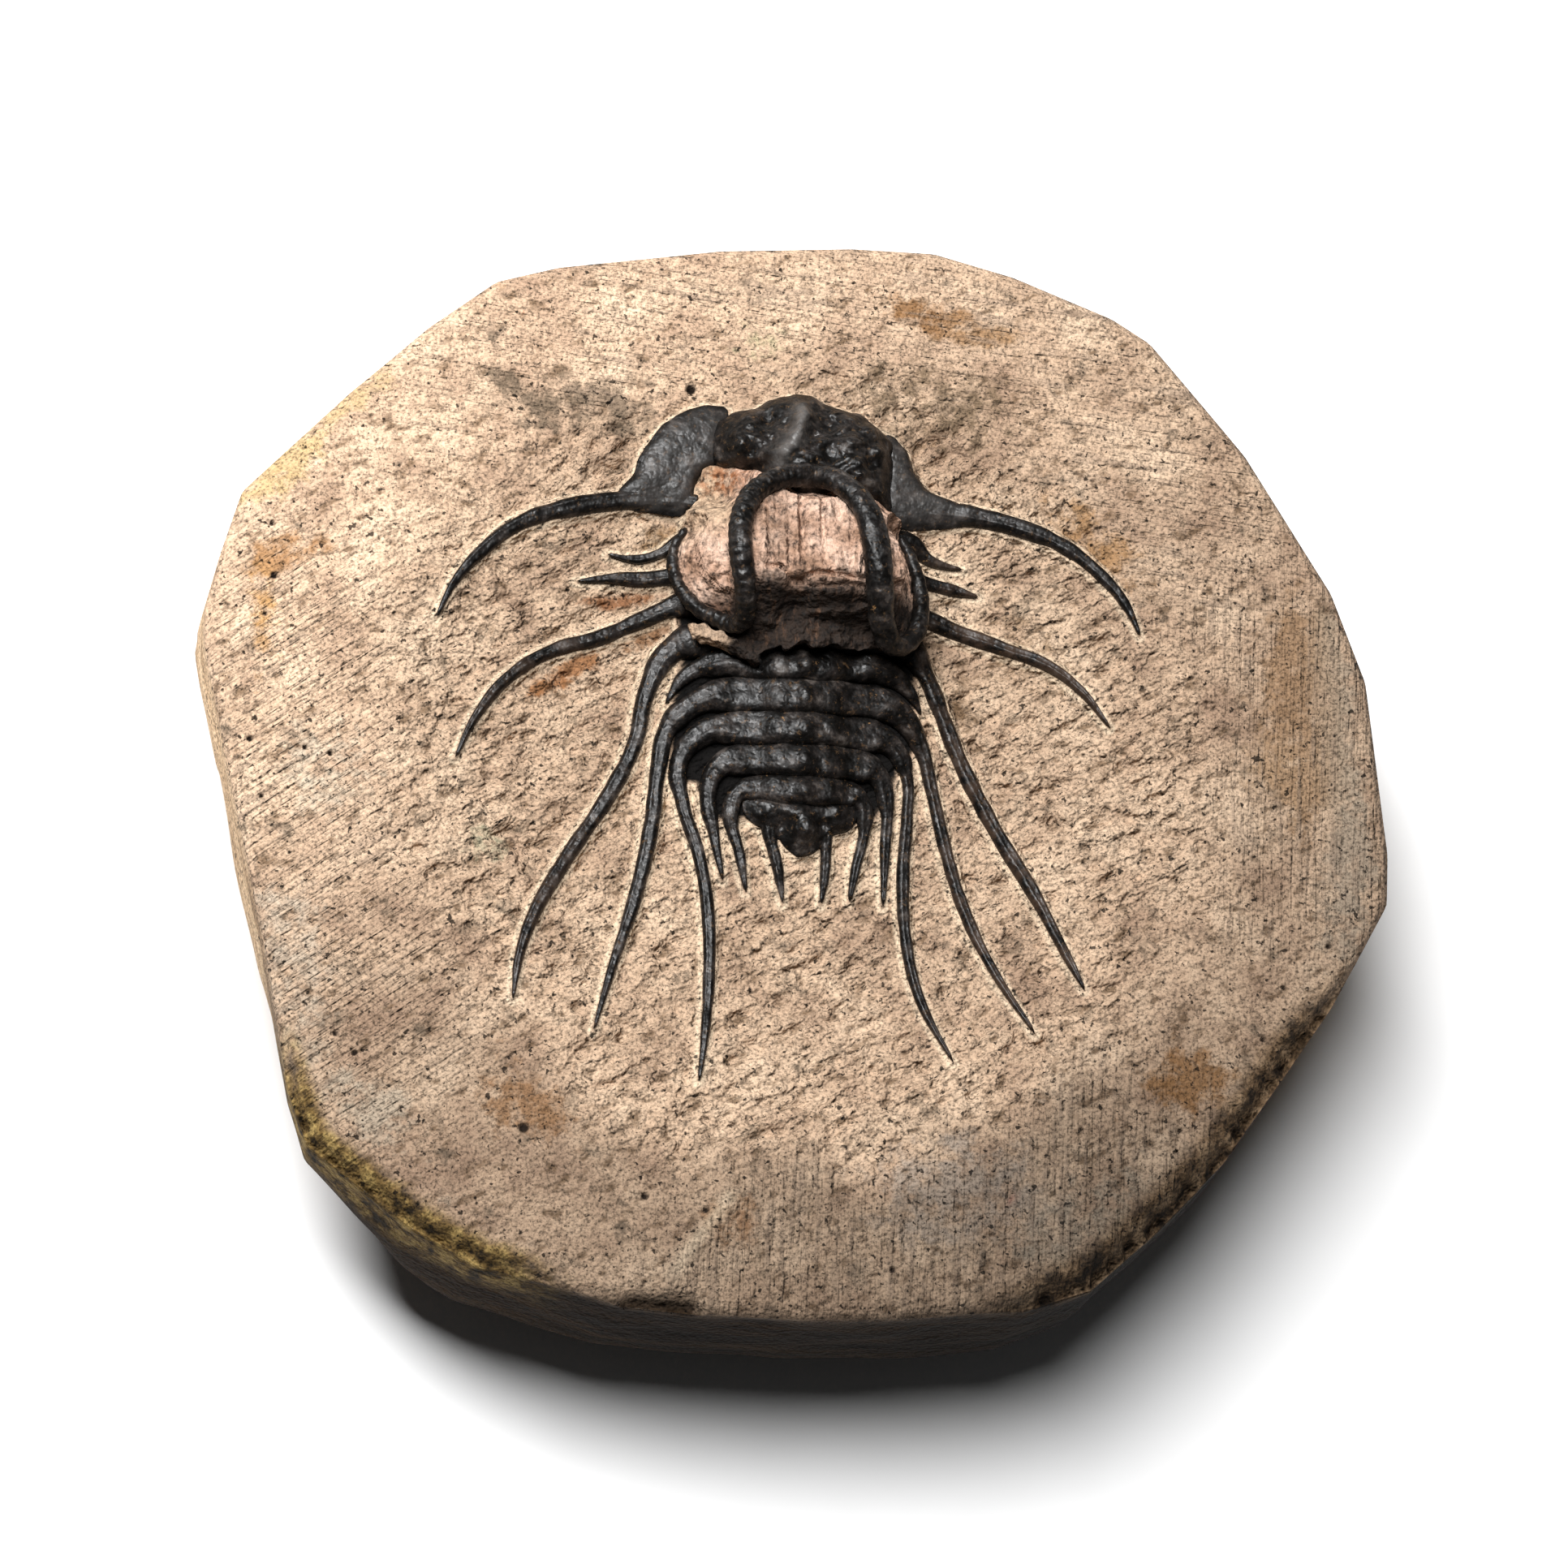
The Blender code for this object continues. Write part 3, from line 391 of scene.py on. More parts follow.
def outline_reach(outline, middle, angles):
    """Distance from the middle to a closed outline in the given directions."""
    rays = np.stack([np.cos(angles), np.sin(angles)], -1)
    best = np.zeros(len(angles))
    for start, end in zip(outline, outline[1:] + outline[:1]):
        start = np.subtract(start, middle)
        side = np.subtract(end, middle) - start
        cross = rays[:, 0] * side[1] - rays[:, 1] * side[0]
        cross = np.where(np.abs(cross) < 1e-9, 1e-9, cross)
        along = (start[0] * side[1] - start[1] * side[0]) / cross
        share = (start[0] * rays[:, 1] - start[1] * rays[:, 0]) / cross
        hit = (along > 0.0) & (share > -1e-6) & (share < 1.0 + 1e-6)
        best = np.where(hit, np.maximum(best, along), best)
    return best


OUTLINE_ANGLES = np.radians(np.arange(-180.0, 181.0, 0.5))
block_reach = outline_reach(BLOCK_OUTLINE, (0.0, 0.0), OUTLINE_ANGLES)


def reach_at(angle):
    """Distance from the middle of the block to its edge."""
    return np.interp(angle, OUTLINE_ANGLES, block_reach)


def from_block_edge(x, y):
    """Distance of points inward from the edge of the block."""
    return reach_at(np.arctan2(y, x)) - np.hypot(x, y)


def turn_share(angle, direction, half_angle):
    """1 in a direction given in degrees, 0 well past the half angle on either side of it."""
    away = np.abs((np.degrees(angle) - direction + 180.0) % 360.0 - 180.0) / half_angle
    return 1.0 - smooth_step(0.7, 1.3, away)


def wall_share(angle, height):
    """How far out the wall stands at a height, as a share of the outline."""
    upright_to = UPRIGHT_TO
    for direction, half_angle, change in WALL_CHANGES:
        upright_to = upright_to + change * turn_share(angle, direction, half_angle)
    below = np.maximum(0.0, upright_to - height) / upright_to
    return 1.0 - (1.0 - FLAT_SPOT_SHARE) * below * below


def edge_wear(angle):
    """Width and depth of the worn edge in one direction."""
    width = EDGE_WIDTH
    depth = EDGE_DEPTH
    for direction, half_angle, worn_width, worn_depth in WORN_EDGES.values():
        share = turn_share(angle, direction, half_angle)
        width = width + (worn_width - EDGE_WIDTH) * share
        depth = depth + (worn_depth - EDGE_DEPTH) * share
    return width, depth


# The stone rises in a narrow smooth bank against the shell, with a shallow scraped line outside it:
# its distance from the shell, half width and depth
BANK_HEIGHT = 0.5
BANK_WIDTH = 0.5
UNDER_SHELL = 0.27
LINE_AWAY = 0.8
LINE_HALF_WIDTH = 0.22
LINE_DEPTH = 0.16


def bank_height(edge, width):
    """How much the stone rises at a distance from the edge of the shell."""
    size = np.clip(width / 0.8, 0.35, 1.1)
    bank = BANK_HEIGHT * size * (1.0 - smooth_step(0.02, BANK_WIDTH, edge))
    under = UNDER_SHELL + (BANK_HEIGHT * size - UNDER_SHELL) * smooth_step(-0.4, -0.1, edge)
    line = LINE_DEPTH * size * np.exp(-((edge - LINE_AWAY) / LINE_HALF_WIDTH) ** 2)
    return np.where(edge < 0.0, under, bank - line)


# Tool strokes in the dish and on the ground rim: height, direction in degrees, length, width, seed
STROKE_WAY = 28.0
STROKES = [(0.46, STROKE_WAY, 1.8, 0.95, 11), (0.26, 42.0, 1.1, 0.65, 12)]
GOUGES = (1.0, 20.0, 1.7, 1.1, 15)
GOUGE_DEPTH = 0.45
GROUND_MARKS = (0.13, STROKE_WAY, 2.6, 1.5, 14)
DISH_SWELL_HEIGHT = 0.14
DISH_SWELL_SIZE = 4.5
PIT_DEPTH = 0.5
# Places in front of the head where the stone broke away roughest: (x, y, reach, how much rougher)
ROUGH_PLACES = [
    (-24.0, 38.0, 8.0, 1.2), (-16.0, 41.0, 5.0, 0.8), (12.0, 41.5, 7.0, 1.2), (21.0, 38.0, 6.0, 0.8),
]


def pecked_share(x, y):
    """1 in the pecked dish, 0 on the ground rim."""
    ragged = soft_noise(np.stack([x, y], -1) / 7.0, 3) * 0.08
    return 1.0 - smooth_step(0.88, 1.12, oval_share(x, y, DISH_MIDDLE, DISH_HALF_SIZE) + ragged)


def tool_marks(x, y, height, degrees, long, short, seed):
    """Relief of strokes that run in one direction."""
    return height * soft_noise(turned(x, y, degrees, long, short), seed)


def face_height(x, y, edge, width):
    """Height of the finished face."""
    pecked = pecked_share(x, y)
    clear = smooth_step(0.45, 1.1, edge)
    strokes = sum(tool_marks(x, y, *values) for values in STROKES)
    strokes = strokes - GOUGE_DEPTH * smooth_step(0.35, 0.75, tool_marks(x, y, *GOUGES))
    strokes = strokes * (1.0 + lumps(x, y, ROUGH_PLACES))
    swells = DISH_SWELL_HEIGHT * soft_noise(np.stack([x, y], -1) / DISH_SWELL_SIZE, 13)
    ground = tool_marks(x, y, *GROUND_MARKS) * smooth_step(0.5, 3.0, from_block_edge(x, y))
    height = rock_height(x, y) + clear * (pecked * (strokes + swells) + (1.0 - pecked) * ground)
    for pit_x, pit_y, radius in PITS:
        from_pit = ((x - pit_x) ** 2 + (y - pit_y) ** 2) / radius ** 2
        height = height - PIT_DEPTH * np.exp(-from_pit ** 2)
    return height + bank_height(edge, width)


def read_points(item):
    """An object's vertices in millimetres."""
    flat = np.empty(len(item.data.vertices) * 3, np.float32)
    item.data.vertices.foreach_get("co", flat)
    return flat.reshape(-1, 3).astype(float) / MM


def write_points(item, points):
    """Move an object's vertices to points given in millimetres."""
    item.data.vertices.foreach_set("co", (points * MM).astype(np.float32).ravel())
    item.data.update()


def start_piece(name):
    """Name the primitive that was just added."""
    item = bpy.context.object
    item.name = name
    item.data.name = name
    return item


# The face starts as a square grid, drawn out to the outline so that its cells stay even
FACE_CELLS = 142
bpy.ops.object.select_all(action="DESELECT")
bpy.ops.mesh.primitive_grid_add(x_subdivisions=FACE_CELLS, y_subdivisions=FACE_CELLS, size=2.0)
block = start_piece("carved_limestone_block")
square = read_points(block) * MM
first = square[:, 0]
second = square[:, 1]
wide = np.abs(first) > np.abs(second)
share = np.where(wide, first, second)
safe = np.where(np.abs(share) < 1e-9, 1.0, share)
turn = np.where(wide, math.pi / 4 * second / safe, math.pi / 2 - math.pi / 4 * first / safe)
disc_x = share * np.cos(turn)
disc_y = share * np.sin(turn)
disc_angle = np.arctan2(disc_y, disc_x)
disc_reach = reach_at(disc_angle)
write_points(block, np.stack([disc_x * disc_reach, disc_y * disc_reach, disc_x * 0.0], -1))

bpy.context.tool_settings.mesh_select_mode = (False, False, True)


def face_middles(item):
    """The middles of an object's faces in millimetres."""
    flat = np.empty(len(item.data.polygons) * 3, np.float32)
    item.data.polygons.foreach_get("center", flat)
    return flat.reshape(-1, 3).astype(float) / MM


def subdivide_where(item, chosen):
    """Split the chosen faces in four."""
    bpy.ops.object.mode_set(mode="EDIT")
    bpy.ops.mesh.select_all(action="DESELECT")
    body = bmesh.from_edit_mesh(item.data)
    body.faces.ensure_lookup_table()
    for index in np.flatnonzero(chosen):
        body.faces[index].select_set(True)
    bmesh.update_edit_mesh(item.data)
    bpy.ops.mesh.subdivide(number_cuts=1, ngon=False)
    bpy.ops.object.mode_set(mode="OBJECT")


def near_pit(x, y, reach):
    """True near one of the pits."""
    near = np.zeros(x.shape, bool)
    for pit_x, pit_y, radius in PITS:
        near |= np.hypot(x - pit_x, y - pit_y) < radius + reach
    return near


# Faces are split in two rounds where the relief is fine: reach round the shell, reach under it, reach
# round a pit, reach from a worn edge, and the share of the dish from which all of it is split
SPLIT_ROUNDS = [(1.9, -0.9, 0.9, 4.0, 0.35), (0.75, -0.3, 0.4, 1.2, 9.0)]
for shell_reach, under_reach, pit_reach, edge_reach, dish_share in SPLIT_ROUNDS:
    middles = face_middles(block)
    x = middles[:, 0]
    y = middles[:, 1]
    edge = from_shell(x, y)[0]
    angle = np.arctan2(y, x)
    worn = turn_share(angle, *SAW_SIDE) + turn_share(angle, *CRUST_SIDE)
    at_rim = (from_block_edge(x, y) < edge_reach) & (worn > 0.3)
    in_dish = (pecked_share(x, y) > dish_share) & (edge > under_reach)
    near_shell = (edge < shell_reach) & (edge > under_reach)
    subdivide_where(block, near_shell | in_dish | near_pit(x, y, pit_reach) | at_rim)

# Teeth of the broken saw cut: height, width along the edge, length inwards, seed
MEAN_RADIUS = 55.0
SAW_TEETH = [(0.5, 0.7, 3.0, 21), (0.2, 2.6, 2.0, 22)]
CRUMB_HEIGHT = 0.35
CRUMB_SIZE = 1.1
points = read_points(block)
x = points[:, 0]
y = points[:, 1]
edge, width = from_shell(x, y)
angle = np.arctan2(y, x)
inward = from_block_edge(x, y)
worn_width, worn_depth = edge_wear(angle)
arc = angle * MEAN_RADIUS
teeth = turn_share(angle, *SAW_SIDE) * sum(
    height * soft_noise(np.stack([arc / wide, inward / long], -1), seed)
    for height, wide, long, seed in SAW_TEETH)
crumbs = turn_share(angle, *CRUST_SIDE) * CRUMB_HEIGHT * soft_noise(np.stack([x, y], -1) / CRUMB_SIZE, 23)
over_edge = 1.0 - smooth_step(0.0, 1.0, inward / worn_width)
points[:, 2] = face_height(x, y, edge, width) - over_edge * worn_depth
points[:, 2] += (teeth + crumbs) * (1.0 - smooth_step(0.6, 1.4, inward / (worn_width + 0.6)))
write_points(block, points)

# Unevenness of the wall: height, length along the wall, length down it, seed
BROKEN_LUMPS = (0.30, 9.0, 5.0, 31)
BEDS = (0.22, 6.0, 1.4, 32)
BED_FREE_SIDE = (180.0, 55.0)
# The wall swells out a little on the left: direction in degrees and half angle
SWELLING = 0.45
SWELLING_SIDE = (-165.0, 32.0)


def wall_place(angle, height):
    """Points of the wall, with the unevenness of the broken stone."""
    arc = angle * MEAN_RADIUS
    level = np.full_like(arc, height)
    broken, beds = (size * soft_noise(np.stack([arc / long, level / down], -1), seed)
                    for size, long, down, seed in (BROKEN_LUMPS, BEDS))
    lower = 1.0 - turn_share(angle, *BED_FREE_SIDE)
    fading = min(1.0, (29.0 - height) / 3.0)
    reach = reach_at(angle) * wall_share(angle, height) + (broken + beds * lower) * fading
    belly = math.sin(math.pi * min(1.0, max(0.0, (29.5 - height) / 24.0)))
    reach = reach + SWELLING * turn_share(angle, *SWELLING_SIDE) * belly
    return reach * np.cos(angle), reach * np.sin(angle)


# The wall is drawn down from the edge ring by ring, and closed under the flat spot
bpy.context.tool_settings.mesh_select_mode = (False, True, False)
bpy.ops.object.mode_set(mode="EDIT")
bpy.ops.mesh.select_all(action="DESELECT")
bpy.ops.mesh.select_non_manifold(extend=False, use_wire=False, use_multi_face=False,
                                 use_non_contiguous=False, use_verts=False)
for height in WALL_HEIGHTS + ["inner"]:
    bpy.ops.mesh.extrude_region_move()
    body = bmesh.from_edit_mesh(block.data)
    ring = [point for point in body.verts if point.select]
    places = np.array([point.co[:] for point in ring])
    if height == "inner":
        places[:, :2] *= FLAT_SPOT_INNER
    else:
        place_x, place_y = wall_place(np.arctan2(places[:, 1], places[:, 0]), height)
        places = np.stack([place_x, place_y, np.full_like(place_x, height)], -1) * MM
    for point, place in zip(ring, places):
        point.co = place
    bmesh.update_edit_mesh(block.data)
bpy.ops.mesh.extrude_region_move()
bpy.ops.mesh.merge(type="CENTER")
bpy.ops.mesh.select_all(action="SELECT")
bpy.ops.mesh.normals_make_consistent(inside=False)
bpy.ops.object.mode_set(mode="OBJECT")
BOX_MARGIN = 0.01
points = read_points(block)
points[:, 0] = np.clip(points[:, 0], cad_low.x / MM + BOX_MARGIN, cad_high.x / MM - BOX_MARGIN)
points[:, 1] = np.clip(points[:, 1], cad_low.y / MM + BOX_MARGIN, cad_high.y / MM - BOX_MARGIN)
write_points(block, points)
bpy.ops.object.shade_smooth()


def linear(hex_colour):
    """A colour given as sRGB hex, as the linear values that a shader takes."""
    values = [int(hex_colour[place:place + 2], 16) / 255.0 for place in (1, 3, 5)]
    return tuple(v / 12.92 if v <= 0.04045 else ((v + 0.055) / 1.055) ** 2.4 for v in values) + (1.0,)


def mark(item, name, values):
    """Store a number for each vertex, which the material reads by name."""
    item.data.attributes.new(name, "FLOAT", "POINT").data.foreach_set("value", values.astype(np.float32))


# Marks that the material reads: stains and painted shadows, dust, worn edges, the tone of each side,
# painted highlight along the banks, and painted shade under the shell and on the wall below the tail
x = points[:, 0]
y = points[:, 1]
z = points[:, 2]
angle = np.arctan2(y, x)
edge, width = from_shell(x, y)
below = rock_height(x, y) - z
top = 1.0 - smooth_step(1.2, 2.6, below)
inward = from_block_edge(x, y)
stain_and_shade_colour = np.zeros((len(points), 4))
stain_and_shade_share = np.zeros(len(points))
for mark_x, mark_y, along, across, degrees, colour, strength in STAINS_AND_SHADES:
    away = np.linalg.norm(turned(x - mark_x, y - mark_y, degrees, along, across), axis=1)
    share = strength * np.exp(-away ** 4 * 0.7) * top
    stain_and_shade_colour += share[:, None] * np.array(linear(colour))
    stain_and_shade_share += share
stain_and_shade_colour /= np.maximum(stain_and_shade_share, 1e-6)[:, None]
attribute = block.data.attributes.new("stain_and_shade_colour", "FLOAT_COLOR", "POINT")
attribute.data.foreach_set("color", stain_and_shade_colour.astype(np.float32).ravel())
mark(block, "stain_and_shade_amount", np.clip(stain_and_shade_share, 0.0, 1.0))
mark(block, "pecked", pecked_share(x, y) * top)
# The pale bank round the shell is partly fresher stone and partly painted highlight; the chip ridge's is
# painted highlight
bank_tint_and_highlight = 0.62 * np.exp(-((edge - 0.24) / 0.22) ** 2)
painted_ridge_highlight = 0.6 * np.exp(-(distance_to_run(x, y, *CHIP_RIDGE)[0] / 0.7) ** 2)
mark(block, "bank", np.maximum(bank_tint_and_highlight, painted_ridge_highlight) * top)
# Painted shade: the rock under and between the shell's plates is made near black
mark(block, "shade_under_shell", (1.0 - smooth_step(-0.6, 0.0, edge)) * top)
wear_reach = 1.0 - smooth_step(0.7, 1.5, inward / (edge_wear(angle)[0] + 0.5))
mark(block, "saw_cut", turn_share(angle, *SAW_SIDE) * wear_reach * smooth_step(25.5, 28.0, z))
mark(block, "crust", turn_share(angle, *CRUST_SIDE) * wear_reach * smooth_step(20.0, 24.0, z))
mark(block, "wall", smooth_step(0.9, 2.2, below))
# The wall below the tail, which faces away from the lamp, is left out of lit_wall and gets painted shade
wall_wander = np.radians(9.0 * soft_noise(np.stack([angle * 6.0, z / 6.0], -1), 36))
mark(block, "lit_wall", 1.0 - turn_share(angle + wall_wander, -86.0, 62.0))
holes = np.zeros(len(points))
for pit_x, pit_y, radius in PITS:
    from_pit = np.hypot(x - pit_x, y - pit_y) / radius
    holes = np.maximum(holes, 1.0 - smooth_step(0.8, 1.25, from_pit))
mark(block, "pit", holes)
# Rim made lighter towards the upper left, where the lamp stands, darker to the lower right and bottom; dish
# darker to the right
on_rim = 1.0 - pecked_share(x, y)
dish_tone = (0.03 + 0.0012 * x) * (1.0 - on_rim)
rim_tone = on_rim * (0.0054 * y - 0.0053 * x - 0.24 * turn_share(angle, -100.0, 60.0))
mark(block, "tone", 1.0 - dish_tone + rim_tone)
rim_sides = {
    "rim_left": turn_share(angle, -170.0, 34.0),
    "rim_top": turn_share(angle, 80.0, 62.0),
    "rim_low": np.maximum(turn_share(angle, -72.0, 34.0), turn_share(angle, 4.0, 24.0)),
}
for name, side in rim_sides.items():
    mark(block, name, on_rim * side * top)


def add(tree, kind, sockets=None, **settings):
    """Add a shader node, set it, and fill its sockets with values or other nodes' outputs."""
    item = tree.nodes.new("ShaderNode" + kind)
    stops = settings.pop("stops", None)
    for name, value in settings.items():
        setattr(item, name, value)
    if stops:
        ramp = item.color_ramp.elements
        while len(ramp) < len(stops):
            ramp.new(1.0)
        for element, (position, colour) in zip(ramp, stops):
            element.position = position
            element.color = linear(colour) if isinstance(colour, str) else (colour, colour, colour, 1.0)
    for name, value in (sockets or {}).items():
        socket = next(s for s in item.inputs if name in (s.identifier, s.name))
        if isinstance(value, bpy.types.NodeSocket):
            tree.links.new(value, socket)
        else:
            socket.default_value = value
    return item


def new_material(name):
    """An empty material, ready for a finish."""
    material = bpy.data.materials.new(name)
    material.use_nodes = True
    material.node_tree.nodes.clear()
    return material, material.node_tree


PER_MM = 1000.0

# Limestone, pecked and ground: matt, warm beige, bruised into hollows that hold dark dust, darkened
# further with painted shade. Its grains are under 0.1 mm, too fine to show, so they are drawn 0.3 to
# 0.7 mm wide. Strokes, clouds and beds have the size that they have on the stone.
limestone, tree = new_material("pecked_limestone")
place = add(tree, "TexCoord").outputs["Object"]
stroke_place = add(tree, "Mapping", {"Vector": place, "Rotation": (0.0, 0.0, math.radians(STROKE_WAY)),
                                     "Scale": (1.7, 1.0, 1.2)}, vector_type="TEXTURE").outputs[0]
beds_place = add(tree, "Mapping", {"Vector": place, "Scale": (0.2, 0.2, 1.6)}).outputs[0]
patterns = {}
# Each pattern: where it is read, size in millimetres, detail, roughness
for name, where, size, detail, roughness in (
        ("clouds", place, 8.0, 6.0, 0.62),
        ("strokes", stroke_place, 0.8, 3.0, 0.6),
        ("relief", stroke_place, 1.3, 2.0, 0.5),
        ("smudges", place, 3.4, 6.0, 0.7),
        ("grain", place, 0.34, 3.0, 0.72),
        ("specks", place, 0.7, 2.0, 0.5),
        ("ragged", place, 2.2, 5.0, 0.65),
        ("beds", beds_place, 3.0, 5.0, 0.6),
        ("crumbs", place, 0.55, 1.0, 0.5)):
    patterns[name] = add(tree, "TexNoise", {"Vector": where, "Scale": PER_MM / size, "Detail": detail,
                                            "Roughness": roughness}).outputs[0]
marks = {}
for name in ("stain_and_shade_amount", "bank", "rim_left", "rim_top", "rim_low", "wall", "lit_wall", "saw_cut", "crust",
             "shade_under_shell", "tone", "pit", "pecked"):
    marks[name] = add(tree, "Attribute", attribute_name=name).outputs["Fac"]

# Dust and painted shade in the stroke hollows, grey smudges, and stains and painted shadows with ragged
# edges
strokes_and_relief = add(tree, "Mix", {"Factor_Float": 0.5, "A_Float": patterns["strokes"],
                                       "B_Float": patterns["relief"]}).outputs[0]
hollow_dust_and_shade = add(tree, "MapRange", {"Value": strokes_and_relief, "From Min": 0.47, "From Max": 0.36,
                                 "To Max": 0.85}).outputs[0]
smudged = add(tree, "MapRange", {"Value": patterns["smudges"], "From Min": 0.57, "From Max": 0.69,
                                 "To Max": 0.75}).outputs[0]
stain_and_shade_tint = add(tree, "Attribute", attribute_name="stain_and_shade_colour").outputs["Color"]
ragged_share = add(tree, "Math", {"Value": patterns["ragged"], "Value_001": 2.9, "Value_002": -1.5},
                   operation="MULTIPLY_ADD").outputs[0]
stain_and_shade_edge = add(tree, "Math", {"Value": marks["stain_and_shade_amount"], "Value_001": ragged_share},
                 operation="ADD").outputs[0]
stain_and_shade_mask = add(tree, "MapRange", {"Value": stain_and_shade_edge, "From Min": 0.3, "From Max": 0.85,
                                    "To Max": 0.85}).outputs[0]

# Fine lines that the grinding wheel left on the rim. They are about 0.3 mm apart and drawn at twice
# that, so that they show: mark, direction in degrees, spacing
line_dust = []
line_height = 0.0
patchy = add(tree, "MapRange", {"Value": patterns["clouds"], "From Min": 0.42, "From Max": 0.56}).outputs[0]
for rim, degrees, spacing in (("rim_left", 36.0, 0.55), ("rim_top", -6.0, 0.6), ("rim_low", 88.0, 0.7)):
    rim_place = add(tree, "Mapping", {"Vector": place, "Rotation": (0.0, 0.0, math.radians(degrees)),
                                      "Scale": (14.0, 1.0, 14.0)}, vector_type="TEXTURE").outputs[0]
    lines = add(tree, "TexNoise", {"Vector": rim_place, "Scale": PER_MM / spacing, "Detail": 2.0}).outputs[0]
    dusty = add(tree, "MapRange", {"Value": lines, "From Min": 0.5, "From Max": 0.64,
                                   "To Max": 0.62}).outputs[0]
    for share in (patchy, marks[rim]):
        dusty = add(tree, "Math", {"Value": dusty, "Value_001": share}, operation="MULTIPLY").outputs[0]
    line_dust.append((dusty, linear("#8A7665")))
    line_height = add(tree, "Math", {"Value": lines, "Value_001": marks[rim], "Value_002": line_height},
                      operation="MULTIPLY_ADD").outputs[0]

# The wall is dark on the side below the tail, from weathering and painted shade, and pale where it broke
# freshly
brown_and_shaded_wall = add(tree, "ValToRGB", {"Fac": patterns["beds"]},
                stops=[(0.35, "#180E05"), (0.5, "#2A1B0B"), (0.66, "#402C14")]).outputs[0]
pale_wall = add(tree, "ValToRGB", {"Fac": patterns["beds"]},
                stops=[(0.35, "#8E7458"), (0.5, "#BDA080"), (0.66, "#D0B594")]).outputs[0]
wall_tone = add(tree, "Mix", {"Factor_Float": marks["lit_wall"], "A_Color": brown_and_shaded_wall,
                              "B_Color": pale_wall}, data_type="RGBA").outputs[2]
sawn_tone = add(tree, "ValToRGB", {"Fac": patterns["ragged"]},
                stops=[(0.38, "#32261A"), (0.5, "#735B42"), (0.62, "#9A8064")]).outputs[0]
crust_tone = add(tree, "ValToRGB", {"Fac": patterns["ragged"]},
                 stops=[(0.38, "#2A2114"), (0.5, "#755D35"), (0.62, "#A68C56")]).outputs[0]

# The stone's own beige, then each layer over it: share and colour. Among the layers are painted shade
# in the hollows, painted highlight on the banks, painted shadows among the stains and painted shade under
# the shell
base = add(tree, "ValToRGB", {"Fac": patterns["clouds"]},
           stops=[(0.34, "#987E69"), (0.5, "#B69B82"), (0.66, "#C7AD93")]).outputs[0]
layers = [(hollow_dust_and_shade, linear("#66513D")), (smudged, linear("#51473B")), (stain_and_shade_mask, stain_and_shade_tint),
          (marks["bank"], linear("#E6D0B3"))] + line_dust
layers += [(marks["wall"], wall_tone), (marks["saw_cut"], sawn_tone), (marks["crust"], crust_tone),
           (marks["shade_under_shell"], linear("#0B0908"))]
for share, colour in layers:
    base = add(tree, "Mix", {"Factor_Float": share, "A_Color": base, "B_Color": colour},
               data_type="RGBA").outputs[2]
grain_tone = add(tree, "ValToRGB", {"Fac": patterns["grain"]},
                 stops=[(0.36, 0.3), (0.44, 0.72), (0.52, 0.98), (0.66, 1.18)]).outputs[0]
speck_tone = add(tree, "ValToRGB", {"Fac": patterns["specks"]},
                 stops=[(0.655, 1.0), (0.69, 0.12)]).outputs[0]
for darkening in (grain_tone, speck_tone):
    base = add(tree, "Mix", {"Factor_Float": 1.0, "A_Color": base, "B_Color": darkening},
               data_type="RGBA", blend_type="MULTIPLY").outputs[2]
base = add(tree, "VectorMath", {"Vector": base, "Scale": marks["tone"]}, operation="SCALE").outputs[0]
base = add(tree, "Mix", {"Factor_Float": marks["pit"], "A_Color": base, "B_Color": linear("#1C140E")},
           data_type="RGBA").outputs[2]

# Relief too fine for the mesh: strokes, grinding lines and crumbs
stroke_depth = add(tree, "Math", {"Value": marks["pecked"], "Value_001": 0.62, "Value_002": 0.3},
                   operation="MULTIPLY_ADD").outputs[0]
bump = add(tree, "Bump", {"Height": patterns["relief"], "Strength": stroke_depth, "Distance": 1.9 * MM})
bump = add(tree, "Bump", {"Height": line_height, "Strength": 1.0, "Distance": 0.7 * MM,
                          "Normal": bump.outputs[0]})
bump = add(tree, "Bump", {"Height": patterns["crumbs"], "Strength": 0.9, "Distance": 0.38 * MM,
                          "Normal": bump.outputs[0]})
shader = add(tree, "BsdfPrincipled", {"Base Color": base, "Roughness": 0.92, "IOR": 1.5,
                                      "Specular IOR Level": 0.16, "Normal": bump.outputs[0]})
add(tree, "OutputMaterial", {"Surface": shader.outputs[0]})
block.data.materials.append(limestone)
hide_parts("limestone_block")
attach(block, "root")

# The nine bands of the thorax are the hinged plates of the animal's back, now black calcite. Each
# carries a knobbed axial lobe in the middle and runs out into a spine on either side. They lie on
# the rock, freed from it with the air pen and polished by hand.

SEAT = 0.52
SEAT_GAP = 0.3
BAND_SIDES = 22
SPINE_SIDES = 16
# The axial lobe, and the knob on the middle of each band
LOBE_HEIGHT = 0.8
KNOB_HEIGHT = 0.75
KNOB_REACH = 0.9
KNOB_LENGTH = 1.3
KNOB_BACK = 0.3
# The two low knobs beside the middle one: height, distance from the axis, reach
SIDE_KNOBS = (0.16, 2.7, 0.6)
# The furrow beside the lobe: depth, distance from the axis, half width
LOBE_FURROW = (0.16, 4.6, 0.8)
# The groove along a band outside the lobe: depth, place across the band, half width
BAND_GROOVE = (0.13, 0.2, 0.18)
BAND_REACH = 9.6
BAND_HALF_LENGTH = 1.78
USUAL_HALF_LENGTH = 1.45
BAND_HEIGHT = 1.2
LEG_SPREAD = 0.36
SPINE_FURROW = 0.28
SPINE_UNEVENNESS = 0.10
# Fine relief of the skin: height, size, seed
SKIN = [(0.07, 0.9, 40), (0.03, 0.45, 60)]


